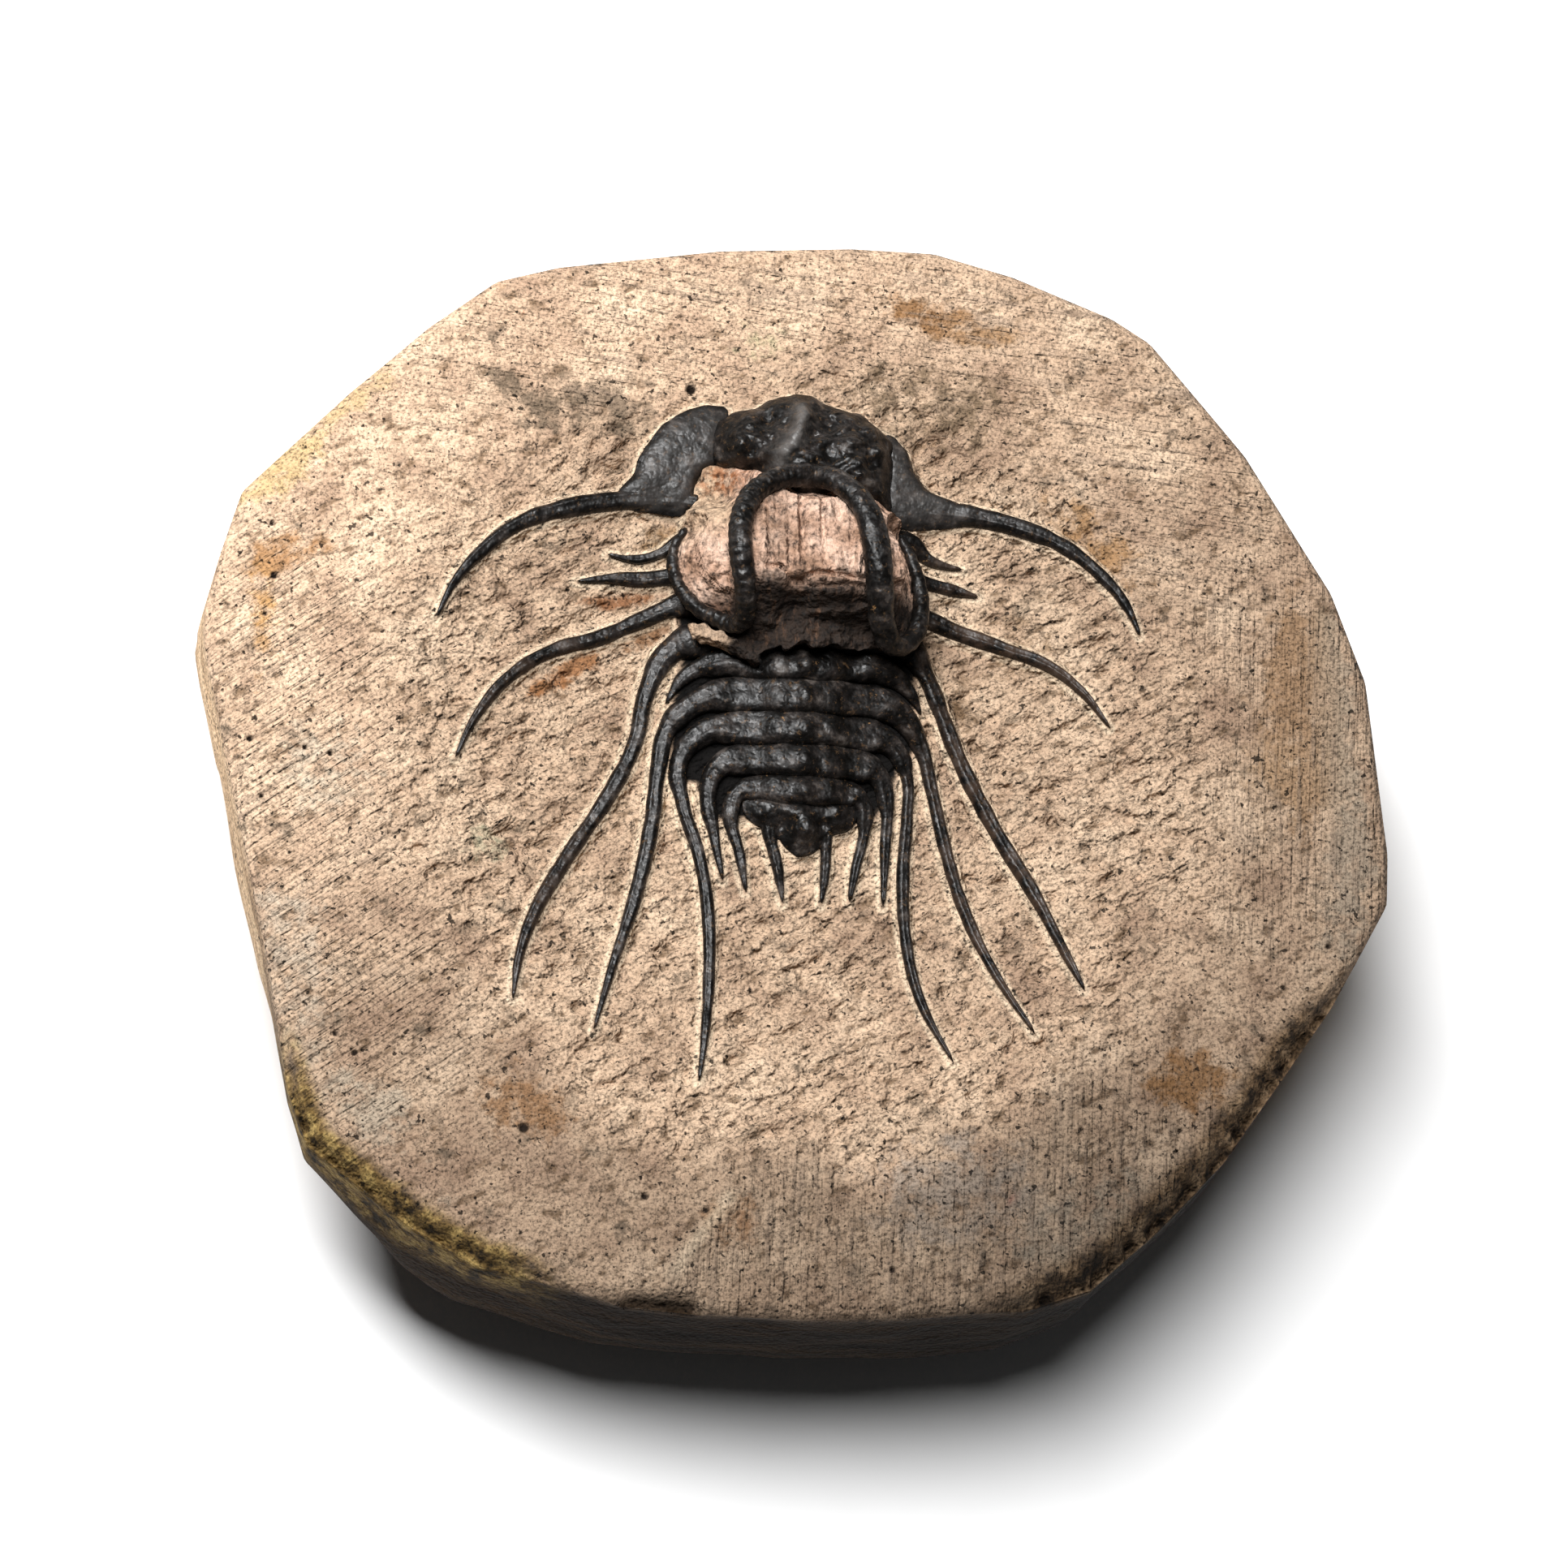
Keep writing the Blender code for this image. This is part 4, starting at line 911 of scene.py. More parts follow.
def wrap(name, points):
    """A grid wrapped into a closed body by points[ring, side], whose last side repeats the first."""
    rings, sides = points.shape[:2]
    bpy.ops.object.select_all(action="DESELECT")
    bpy.ops.mesh.primitive_grid_add(x_subdivisions=sides - 1, y_subdivisions=rings - 1, size=1.0)
    item = start_piece(name)
    write_points(item, points.reshape(-1, 3))
    bpy.ops.object.mode_set(mode="EDIT")
    bpy.ops.mesh.select_all(action="SELECT")
    bpy.ops.mesh.remove_doubles(threshold=0.002 * MM)
    bpy.ops.mesh.normals_make_consistent(inside=False)
    bpy.ops.object.mode_set(mode="OBJECT")
    bpy.ops.object.shade_smooth()
    return item


def lobe_rise(x):
    """How much higher the axial lobe stands than the bands beside it."""
    return LOBE_HEIGHT * (1.0 - smooth_step(0.55, 1.3, np.abs(x) / LOBE_HALF_WIDTH))


def lying_tube(run, sides, seed):
    """Rings of points round a run that lies on the rock, with the skin's unevenness."""
    middle = run[:, :2]
    along = np.gradient(middle, axis=0)
    along /= np.linalg.norm(along, axis=1, keepdims=True)
    across = np.stack([-along[:, 1], along[:, 0]], -1)
    turn = np.linspace(0.0, 2.0 * math.pi, sides + 1)
    length = np.concatenate([[0.0], np.cumsum(np.linalg.norm(np.diff(middle, axis=0), axis=1))])
    half_width = run[:, 2].copy()
    wander = soft_noise(np.stack([length / 1.6, length * 0.0 + seed], -1), seed)
    half_width *= 1.0 + SPINE_UNEVENNESS * wander
    half_width[0] = half_width[-1] = 0.0
    side = half_width[:, None] * np.cos(turn)
    place = middle[:, None, :] + side[..., None] * across[:, None, :]
    furrow = 1.0 - SPINE_FURROW * np.exp(-((np.cos(turn) - 0.15) / 0.22) ** 2)
    rise = half_width[:, None] * np.sin(turn) * furrow
    floor = rock_height(place[..., 0], place[..., 1]) + SEAT_GAP
    height = np.maximum(floor, floor - SEAT_GAP + SEAT + rise)
    height[0] = floor[0] + 0.15
    height[-1] = floor[-1] + 0.15
    return np.concatenate([place, height[..., None]], -1)


def band_points(values, run, seed):
    """The points of one band with its spines: low in front, highest towards the rear, steep behind."""
    height_on_axis, half_length, left, right = values
    run = run.copy()
    middle = run[:, :2]
    along = np.gradient(middle, axis=0)
    along /= np.linalg.norm(along, axis=1, keepdims=True)
    reach = min(BAND_REACH, abs(left[0][0]) + 0.5)
    in_band = smooth_step(0.55, 0.9, np.abs(along[:, 0]))
    in_band = in_band * (1.0 - smooth_step(0.9, 1.35, np.abs(run[:, 0]) / reach))
    in_body = 1.0 - smooth_step(-0.6, 1.2, from_outline(run[:, 0], run[:, 1], BODY_OUTLINE))
    run[:, 2] *= 1.0 + LEG_SPREAD * in_body
    wanted = BAND_HALF_LENGTH * half_length / USUAL_HALF_LENGTH
    run[:, 2] += in_band * np.maximum(0.0, wanted - run[:, 2])
    rings = lying_tube(run, BAND_SIDES, seed)
    x = rings[..., 0]
    y = rings[..., 1]
    floor = rock_height(x, y) + SEAT_GAP
    turn = np.linspace(0.0, 2.0 * math.pi, BAND_SIDES + 1)
    share = np.cos(turn)[None, :]
    upper = np.sin(turn)[None, :] > 0.0
    profile = np.clip(1.0 - np.abs(share) ** 3, 0.0, 1.0) ** (1.0 / 3.0) * (0.78 - 0.24 * share)
    ease = 1.0 - smooth_step(0.75, 1.15, np.abs(share))
    aside = np.abs(x)
    behind = y - height_on_axis
    knob = KNOB_HEIGHT * np.exp(-(x / KNOB_REACH) ** 2 - ((behind + KNOB_BACK) / KNOB_LENGTH) ** 2)
    pair_height, pair_place, pair_reach = SIDE_KNOBS
    pair = pair_height * np.exp(-((aside - pair_place) ** 2 + behind ** 2) / pair_reach ** 2)
    furrow_depth, furrow_place, furrow_width = LOBE_FURROW
    furrow = -furrow_depth * np.exp(-((aside - furrow_place) / furrow_width) ** 2)
    groove_depth, groove_place, groove_width = BAND_GROOVE
    groove = -groove_depth * np.exp(-((share - groove_place) / groove_width) ** 2)
    groove = groove * smooth_step(4.6, 5.6, aside)
    skin = sum(height * soft_noise(rings / size, seed + extra) for height, size, extra in SKIN)
    flat_height = floor - SEAT_GAP + SEAT + BAND_HEIGHT * profile
    flat_height = flat_height + ease * (knob + pair + furrow + groove + lobe_rise(x))
    flat_height = np.where(upper, flat_height, floor)
    mix = in_band[:, None]
    rings[..., 2] = rings[..., 2] * (1.0 - mix) + flat_height * mix
    above = np.clip((rings[..., 2] - floor) / SEAT, 0.0, 1.0)
    rings[..., 2] += above * skin
    return rings


shell_pieces = []
for number, (values, run) in enumerate(zip(SEGMENTS, SEGMENT_RUNS), start=1):
    band = wrap(f"thorax_band_{number}", band_points(values, run, number))
    points = read_points(band)
    on_right = points[:, 0] > 0.0
    outwards = smooth_step(12.0, 24.0, np.abs(points[:, 0] + 4.0))
    mark(band, "brown", outwards * np.where(on_right, 0.75, 0.4))
    shell_pieces.append((band, f"thoracic_segment_{number}"))

# Fossil shell: dense black calcite with a satin hand polish, brown and grained where it is worn. Its
# grains are under 0.1 mm, too fine to show, so they are drawn 0.5 to 1.4 mm wide, very shallow.
shell, tree = new_material("polished_black_calcite_shell")
place = add(tree, "TexCoord").outputs["Object"]
patterns = {}
for name, size, detail, roughness in (
        ("clouds", 2.2, 6.0, 0.65),
        ("flecks", 0.6, 4.0, 0.7),
        ("dust", 1.4, 5.0, 0.75),
        ("skin", 0.5, 1.0, 0.5),
        ("grains", 1.3, 2.0, 0.5)):
    patterns[name] = add(tree, "TexNoise", {"Vector": place, "Scale": PER_MM / size, "Detail": detail,
                                            "Roughness": roughness}).outputs[0]
flecked = add(tree, "MapRange", {"Value": patterns["flecks"], "From Min": 0.58, "From Max": 0.72,
                                 "To Max": 0.75}).outputs[0]
dusted = add(tree, "MapRange", {"Value": patterns["dust"], "From Min": 0.66, "From Max": 0.72,
                                "To Max": 0.8}).outputs[0]
brown = add(tree, "Attribute", attribute_name="brown").outputs["Fac"]
brown_edge = add(tree, "MapRange", {"Value": patterns["clouds"], "From Min": 0.42,
                                    "From Max": 0.56}).outputs[0]
brown = add(tree, "Math", {"Value": brown, "Value_001": brown_edge}, operation="MULTIPLY").outputs[0]
worn = add(tree, "Attribute", attribute_name="worn").outputs["Fac"]
worn_edge = add(tree, "Math", {"Value": patterns["dust"], "Value_001": 2.0, "Value_002": -0.4},
                operation="MULTIPLY_ADD").outputs[0]
worn = add(tree, "Math", {"Value": worn, "Value_001": worn_edge}, operation="MULTIPLY").outputs[0]
base = add(tree, "ValToRGB", {"Fac": patterns["clouds"]},
           stops=[(0.38, "#070605"), (0.49, "#100E0D"), (0.58, "#231F1D"), (0.68, "#4A4440")]).outputs[0]
# The worn grey is wear on the cheek plates and a painted highlight along the head's ridge
for share, colour in ((flecked, "#5A4530"), (dusted, "#8C6A45"), (brown, "#3A2C22"), (worn, "#6E6A67")):
    base = add(tree, "Mix", {"Factor_Float": share, "A_Color": base, "B_Color": linear(colour)},
               data_type="RGBA").outputs[2]
gloss = add(tree, "MapRange", {"Value": patterns["skin"], "From Min": 0.32, "From Max": 0.66,
                               "To Min": 0.3, "To Max": 0.5}).outputs[0]
bump = add(tree, "Bump", {"Height": patterns["grains"], "Strength": 0.9, "Distance": 0.3 * MM})
bump = add(tree, "Bump", {"Height": patterns["skin"], "Strength": 0.9, "Distance": 0.06 * MM,
                          "Normal": bump.outputs[0]})
shader = add(tree, "BsdfPrincipled", {"Base Color": base, "Roughness": gloss, "IOR": 1.6,
                                      "Specular IOR Level": 0.2, "Normal": bump.outputs[0]})
add(tree, "OutputMaterial", {"Surface": shader.outputs[0]})

# The two free cheeks are flat plates beside the head, each drawn out into a long curved spine.
# They are part of the shell that split off when the animal moulted, and lie on the rock.

LEFT_CHEEK_MIDDLE = (-12.6, 32.4)
RIGHT_CHEEK_MIDDLE = (10.6, 30.4)
CHEEK_HEIGHT = 1.7
CHEEK_EDGE_HEIGHT = 0.7
PLATE_WEAR = 0.2


def dome_points(outline, middle, top, bottom, sides, rings, grow=0.0, ragged=0.0):
    """A closed body over an outline, with its upper and lower faces given as heights."""
    angles = np.linspace(0.0, 2.0 * math.pi, sides + 1)
    reach = outline_reach(outline, middle, angles)
    even = reach[:-1]
    for _ in range(2):
        even = 0.5 * even + 0.25 * (np.roll(even, 1) + np.roll(even, -1))
    around = np.stack([np.cos(angles[:-1]), np.sin(angles[:-1])], -1) * even[:, None]
    even = even + grow + ragged * soft_noise(around / 1.1, 33)
    reach = np.concatenate([even, even[:1]])
    down = np.linspace(0.0, 1.0, rings + 1) ** 0.8
    share = np.concatenate([down, down[-2::-1]])[:, None]
    upper = (np.arange(2 * rings + 1) <= rings)[:, None]
    x = middle[0] + share * reach * np.cos(angles)
    y = middle[1] + share * reach * np.sin(angles)
    height = np.where(upper, top(x, y, np.broadcast_to(share, x.shape)), bottom(x, y))
    return np.stack([x, y, height], -1)


def fuse(name, pieces, voxel, smoothing):
    """Melt overlapping bodies into one skin of even small faces."""
    bpy.ops.object.select_all(action="DESELECT")
    for piece in pieces:
        piece.select_set(True)
    bpy.context.view_layer.objects.active = pieces[0]
    if len(pieces) > 1:
        bpy.ops.object.join()
    item = start_piece(name)
    item.data.remesh_voxel_size = voxel * MM
    item.data.remesh_voxel_adaptivity = 0.0
    bpy.ops.object.voxel_remesh()
    soften = item.modifiers.new("soften", "SMOOTH")
    soften.factor = 0.5
    soften.iterations = smoothing
    bpy.ops.object.modifier_apply(modifier=soften.name)
    bpy.ops.object.shade_smooth()
    return item


def roughen(item, *waves):
    """Push the skin in and out along its normals by soft noise given as (height, size, seed)."""
    points = read_points(item)
    normals = np.empty(len(points) * 3, np.float32)
    item.data.vertices.foreach_get("normal", normals)
    push = np.zeros(len(points))
    for height, size, seed in waves:
        push += height * soft_noise(points / size, seed)
    points += push[:, None] * normals.reshape(-1, 3)
    points[:, 2] = np.minimum(points[:, 2], cad_high.z / MM - BOX_MARGIN)
    write_points(item, points)


def rock_seat(x, y):
    """The underside of a piece that lies on the rock."""
    return rock_height(x, y) + SEAT_GAP


def cheek_top(x, y, share):
    """Height of a cheek plate: flat, with a rounded edge."""
    rise = CHEEK_EDGE_HEIGHT + (CHEEK_HEIGHT - CHEEK_EDGE_HEIGHT) * (1.0 - share ** 4.0)
    return rock_height(x, y) + rise


for name, node, outline, middle, run in (
        ("left_cheek", "left_free_cheek", LEFT_CHEEK_PLATE, LEFT_CHEEK_MIDDLE, CHEEK_RUNS[0]),
        ("right_cheek", "right_free_cheek", RIGHT_CHEEK_PLATE, RIGHT_CHEEK_MIDDLE, CHEEK_RUNS[1])):
    plate_points = dome_points(outline, middle, cheek_top, rock_seat, sides=96, rings=16, grow=0.15,
                               ragged=0.12)
    plate = wrap(f"{name}_plate", plate_points)
    spine = wrap(f"{name}_spine", lying_tube(run, SPINE_SIDES, 5))
    cheek = fuse(name, [plate, spine], voxel=0.13, smoothing=3)
    roughen(cheek, (0.02, 1.2, 34), (0.01, 0.4, 35))
    points = read_points(cheek)
    from_plate = from_outline(points[:, 0], points[:, 1], outline)
    mark(cheek, "worn", PLATE_WEAR * (1.0 - smooth_step(-0.8, 0.2, from_plate)))
    shell_pieces.append((cheek, node))

# The cranidium is the middle of the head, with the two ram's horns that rise from its ring at the
# back, curl over and run down beside the body. It is the same black calcite, rough where it is worn.

HEAD_SLOPE = (28.0, 39.0)
CRANIDIUM_MIDDLE = (0.5, 33.0)
HEAD_FRONT_HEIGHT = 4.2
HEAD_BACK_HEIGHT = 6.6
HEAD_EDGE_HEIGHT = 1.2
HEAD_EDGE_SHARE = 0.72
# Fibres of the worn shell: height, direction in degrees, length, width, seed
HEAD_FIBRES = [(0.24, 30.0, 2.6, 0.55, 51), (0.14, -40.0, 1.4, 0.5, 52)]
HEAD_CHIP_DEPTH = 0.30
HEAD_CHIP_SIZE = 2.2
HEAD_RIDGE = [(-0.8, 37.6), (-1.6, 34.4), (-3.4, 31.6)]
RIDGE_HIGHLIGHT = 0.8
# Knobs and hollows of the head: (x, y, reach, height)
HEAD_LUMPS = [
    (-0.7, 38.4, 1.0, 0.8), (-0.8, 37.2, 0.9, 0.9), (-1.0, 36.0, 0.9, 1.0), (-1.4, 34.8, 0.9, 1.1),
    (-1.9, 33.6, 0.9, 1.0), (-2.6, 32.4, 0.9, 0.8), (-3.4, 31.4, 1.0, 0.6), (0.4, 34.6, 0.8, -0.6),
    (-4.4, 36.6, 1.2, -1.0), (-4.2, 34.0, 1.3, -0.8), (-6.2, 36.8, 1.0, 0.7),
    (-7.3, 33.6, 1.0, 1.5), (-8.0, 35.2, 0.9, 0.7), (-5.9, 32.6, 1.0, -0.9), (2.0, 36.0, 1.5, -0.8),
    (1.4, 32.4, 1.3, -0.5), (4.2, 34.0, 1.3, 0.8), (5.0, 31.4, 1.2, 0.7), (6.6, 36.0, 1.0, 1.3),
    (7.4, 33.6, 0.9, 1.2), (6.3, 32.0, 0.8, -0.7), (4.0, 37.4, 1.0, 0.5), (7.7, 30.6, 1.0, 0.7),
]
# The horns as (x, y, z, radius) from the ring out
LEFT_HORN = [
    (1.6, 30.0, 33.6, 1.3), (-0.8, 29.8, 36.0, 1.3), (-3.8, 28.9, 37.2, 1.15), (-6.5, 26.8, 38.3, 1.15),
    (-7.9, 23.8, 39.3, 1.2), (-8.1, 20.2, 39.7, 1.2), (-7.6, 17.2, 38.9, 1.15), (-7.1, 14.8, 36.8, 1.1),
    (-7.5, 13.9, 34.6, 1.0), (-9.4, 14.8, 33.0, 0.85), (-11.9, 16.6, 32.1, 0.75),
    (-13.6, 19.6, 31.7, 0.65),
    (-13.7, 22.6, 31.6, 0.5), (-12.4, 25.0, 31.6, 0.3),
]
RIGHT_HORN = [
    (-1.4, 30.0, 33.6, 1.3), (1.0, 29.8, 36.0, 1.3), (3.0, 28.4, 37.6, 1.15), (4.8, 25.8, 38.9, 1.15),
    (5.8, 22.4, 39.6, 1.2), (6.2, 19.2, 39.6, 1.2), (6.6, 16.2, 38.3, 1.15), (7.4, 13.6, 36.0, 1.1),
    (8.9, 12.5, 34.2, 1.0), (10.9, 13.8, 33.0, 0.85), (11.9, 16.6, 32.3, 0.75), (11.9, 19.8, 31.8, 0.65),
    (11.1, 22.9, 31.6, 0.5), (9.9, 25.3, 31.6, 0.3),
]


def head_top(x, y, share):
    """Height of the middle of the head, with its ridge, furrows and grain."""
    back = 1.0 - smooth_step(*HEAD_SLOPE, y)
    full = HEAD_FRONT_HEIGHT + (HEAD_BACK_HEIGHT - HEAD_FRONT_HEIGHT) * back
    dome = np.clip(1.0 - share ** 3.0, 0.0, 1.0) ** HEAD_EDGE_SHARE
    rise = HEAD_EDGE_HEIGHT + (full - HEAD_EDGE_HEIGHT) * dome
    fibres = sum(tool_marks(x, y, *values) for values in HEAD_FIBRES)
    chips = HEAD_CHIP_DEPTH * np.abs(soft_noise(np.stack([x, y], -1) / HEAD_CHIP_SIZE, 53))
    return rock_height(x, y) + rise + (lumps(x, y, HEAD_LUMPS) + fibres - chips) * (1.0 - share ** 5)


def standing_tube(run, sides, ring_height, ring_spacing, broader):
    """Rings of points round a run in space, its skin raised in rings."""
    middle = run[:, :3]
    along = np.gradient(middle, axis=0)
    along /= np.linalg.norm(along, axis=1, keepdims=True)
    length = np.concatenate([[0.0], np.cumsum(np.linalg.norm(np.diff(middle, axis=0), axis=1))])
    first = np.zeros_like(along)
    guide = np.array([0.0, 1.0, 0.0])
    for index, way in enumerate(along):
        guide = guide - way * (guide @ way)
        guide /= np.linalg.norm(guide)
        first[index] = guide
    second = np.cross(along, first)
    turn = np.linspace(0.0, 2.0 * math.pi, sides + 1)
    wander = soft_noise(np.stack([length / 1.7, length * 0.0], -1), 54)
    swell = np.cos(2.0 * math.pi * length / ring_spacing + 1.5 * wander)
    radius = run[:, 3] + ring_height * swell
    radius[0] = radius[-1] = 0.0
    turn = turn[None, :, None]
    ring = np.cos(turn) * first[:, None, :] + np.sin(turn) * second[:, None, :]
    ring[..., 0] *= broader
    return middle[:, None, :] + radius[:, None, None] * ring


HORN_STEPS = 18
HORN_SIDES = 24
LEFT_HORN_BREADTH = 1.0
RIGHT_HORN_BREADTH = 1.22
left_horn_run = smooth_run(LEFT_HORN, HORN_STEPS)
right_horn_run = smooth_run(RIGHT_HORN, HORN_STEPS)
head_points = dome_points(HEAD_OUTLINE, CRANIDIUM_MIDDLE, head_top, rock_seat, sides=160, rings=48,
                          ragged=0.2)
head = wrap("head", head_points)
left_horn = wrap("left_horn", standing_tube(left_horn_run, HORN_SIDES, ring_height=0.05,
                                            ring_spacing=0.95, broader=LEFT_HORN_BREADTH))
right_horn = wrap("right_horn", standing_tube(right_horn_run, HORN_SIDES, ring_height=0.02,
                                              ring_spacing=1.3, broader=RIGHT_HORN_BREADTH))
horned_head = fuse("head_with_rams_horns", [head, left_horn, right_horn], voxel=0.15, smoothing=1)
roughen(horned_head, (0.07, 0.9, 55), (0.03, 0.4, 56))
points = read_points(horned_head)
# Painted highlight along the ridge of the head, stored in its worn mark
upper_ridge = distance_to_run(points[:, 0], points[:, 1], *HEAD_RIDGE[:2])[0]
lower_ridge = distance_to_run(points[:, 0], points[:, 1], *HEAD_RIDGE[1:])[0]
mark(horned_head, "worn", RIDGE_HIGHLIGHT * np.exp(-(np.minimum(upper_ridge, lower_ridge) / 0.8) ** 2))
shell_pieces.append((horned_head, "cranidium"))

# The tail plate is the small last shield of the animal, grown in one piece with its knob and its two
# short spines. It is black calcite like the rest, and lies on the rock behind the last band.

TAIL_MIDDLE = (-0.1, -5.0)
TAIL_HEIGHT = 1.7
TAIL_EDGE_HEIGHT = 0.8
# The end knob, the low knobs and the hollows of the tail: (x, y, reach, height)
TAIL_LUMPS = [
    (0.4, -6.6, 1.3, 1.2), (-0.4, -4.4, 1.2, 0.5), (-3.8, -4.2, 1.3, 0.5), (3.9, -4.4, 1.4, 0.6),
    (2.2, -5.6, 0.7, -0.6), (-2.0, -5.6, 0.7, -0.5),
]
TAIL_GRAIN_HEIGHT = 0.1
TAIL_GRAIN_SIZE = 0.7


def tail_top(x, y, share):
    """Height of the tail plate."""
    rise = TAIL_EDGE_HEIGHT + (TAIL_HEIGHT - TAIL_EDGE_HEIGHT) * (1.0 - share ** 2.5)
    grain = TAIL_GRAIN_HEIGHT * soft_noise(np.stack([x, y], -1) / TAIL_GRAIN_SIZE, 61)
    return rock_height(x, y) + rise + (lumps(x, y, TAIL_LUMPS) + grain) * (1.0 - share ** 6)


tail_points = dome_points(TAIL_OUTLINE, TAIL_MIDDLE, tail_top, rock_seat, sides=96, rings=16)
tail_plate = wrap("tail_plate", tail_points)
tail_spines = [wrap(f"tail_spine_{index}", lying_tube(run, SPINE_SIDES, 7 + index))
               for index, run in enumerate(TAIL_RUNS)]
tail = fuse("tail", [tail_plate] + tail_spines, voxel=0.11, smoothing=2)
roughen(tail, (0.05, 0.8, 62), (0.02, 0.4, 63))
shell_pieces.append((tail, "pygidium"))

# Bands, cheeks, head and tail are all the one shell
for piece, node in shell_pieces:
    piece.data.materials.append(shell)
    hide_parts(node)
    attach(piece, "root")

# The stone between the horns was left standing to hold them up. It is the same limestone, scraped
# smooth between the horns, grooved by the tool and broken across where it drops to the bands.

STONE_OUTLINE = [
    (-13.4, 23.0), (-13.7, 20.6), (-12.6, 17.4), (-10.4, 15.2), (-8.4, 14.2), (-7.7, 12.6), (-6.9, 11.5),
    (-5.4, 11.0), (-4.0, 11.5), (-1.6, 11.9), (0.5, 11.7), (3.2, 12.3), (5.6, 12.2), (9.6, 13.2),
    (11.5, 15.8),
    (11.6, 19.6), (10.8, 23.6), (9.4, 27.0), (6.6, 29.6), (3.6, 31.2), (-1.6, 31.5), (-4.6, 30.9),
    (-6.4, 32.0),
    (-8.8, 32.3), (-10.6, 31.6), (-11.6, 29.6), (-12.3, 27.2), (-12.8, 25.6),
]
STONE_MIDDLE = (-1.0, 21.0)
# The top slopes down towards the head over this stretch, from the rear height to the front one
STONE_SLOPE = (19.0, 29.5)
STONE_FRONT_TOP = 37.5
STONE_REAR_TOP = 39.4
STONE_EDGE_HEIGHT = 0.8
# The round left part stands lower, and lowest towards the head
BALL_SIDE = (-9.0, -7.0)
BALL_DROP = 2.6
THUMB_DROP = 4.4
# The broken cliff towards the tail: from its foot to its upper edge, and the height of the foot
CLIFF = (12.2, 18.4)
CLIFF_FOOT = 32.9
LEDGE_MARKS = (1.5, 4.0, 3.4, 0.65, 76)
SCRAPED_STRIPS = (0.42, 88.0, 5.0, 0.7, 77)
CHIP_DEPTH = 1.1
CHIP_SIZE = 1.3
# The shell that it stands on: its front edge, its height over the rock, the reach of its knobs
SHELL_FRONT = (26.2, 27.6)
SHELL_HEIGHT = 2.35
SHELL_KNOB_REACH = 2.45


def stone_seat(x, y):
    """The underside of the stone: on the bands of the shell, and on the rock in front of them."""
    over_bands = SHELL_HEIGHT + lobe_rise(x) + KNOB_HEIGHT * np.exp(-(x / SHELL_KNOB_REACH) ** 2)
    return rock_seat(x, y) + over_bands * (1.0 - smooth_step(*SHELL_FRONT, y))


def notch(away, half_width, depth):
    """The section of a narrow groove."""
    return -depth * np.exp(-(away / half_width) ** 2)


def stone_top(x, y, share):
    """Height of the stone, with its scraped grooves and the ledges where it broke."""
    full = STONE_FRONT_TOP + (STONE_REAR_TOP - STONE_FRONT_TOP) * (1.0 - smooth_step(*STONE_SLOPE, y))
    ball = 1.0 - smooth_step(*BALL_SIDE, x)
    thumb = smooth_step(25.0, 29.6, y) * (1.0 - smooth_step(-6.8, -5.2, x))
    full = full - BALL_DROP * ball - THUMB_DROP * thumb
    foot = CLIFF_FOOT + 0.5 * soft_noise(np.stack([x, y], -1) / 1.6, 74)
    wander = 0.7 * soft_noise(np.stack([x / 2.2, x * 0.0], -1), 75)
    fall = smooth_step(CLIFF[0] - 2.5 * ball, CLIFF[1] - 2.0 * ball, y + wander)
    ledges = tool_marks(x, y, *LEDGE_MARKS) * (1.0 - np.abs(2.0 * fall - 1.0)) ** 0.6
    full = foot + (full - foot) * fall + ledges
    strips = tool_marks(x, y, *SCRAPED_STRIPS) * (1.0 - ball) * smooth_step(0.6, 1.0, fall)
    long_groove = notch(x + 1.6, 0.28, 0.9) * smooth_step(19.0, 20.5, y) * (1.0 - smooth_step(26.0, 27.5, y))
    short_groove = notch(x - 0.7, 0.25, 0.7) * smooth_step(18.0, 19.5, y)
    upper_crack = notch(y - 18.3 - wander, 0.25, 1.1) * smooth_step(-6.5, -4.0, x)
    lower_crack = notch(y - 17.2 + wander, 0.2, 0.9) * smooth_step(-4.0, -1.0, x)
    chip_share = ball * (1.0 - smooth_step(17.0, 22.5, y) + 0.8 * smooth_step(26.0, 28.5, y))
    chips = CHIP_DEPTH * np.abs(soft_noise(np.stack([x, y], -1) / CHIP_SIZE, 78)) * chip_share
    full = full + strips + long_groove + short_groove + upper_crack + lower_crack - chips
    low = stone_seat(x, y) + STONE_EDGE_HEIGHT
    return low + np.maximum(0.0, full - low) * np.clip(1.0 - share ** 5, 0.0, 1.0) ** 0.6


stone_points = dome_points(STONE_OUTLINE, STONE_MIDDLE, stone_top, stone_seat, sides=200, rings=60,
                           ragged=0.5)
stone = wrap("stone", stone_points)

# The small broken piece of it below the left horn, and the run along its middle
CHUNK_OUTLINE = [
    (-12.8, 14.5), (-11.4, 14.5), (-9.6, 13.6), (-7.6, 12.6), (-5.6, 11.4), (-4.0, 10.5), (-3.8, 10.0),
    (-5.8, 10.5), (-8.0, 11.5), (-10.4, 12.3), (-12.2, 13.4),
]
CHUNK_RUN = ((-12.2, 14.0), (-4.2, 10.3))
CHUNK_MIDDLE = (-8.2, 12.3)
CHUNK_TOP = 33.3
CHUNK_FLOOR = 31.6


def chunk_top(x, y, share):
    """Height of the small broken piece left below the left horn."""
    crumbly = 0.35 * soft_noise(np.stack([x, y], -1) / 0.7, 79)
    return CHUNK_TOP + 0.6 * smooth_step(-9.0, -5.0, x) - 0.8 * share ** 3 + crumbly


def chunk_seat(x, y):
    """The underside of the small broken piece."""
    return np.full_like(x, CHUNK_FLOOR)


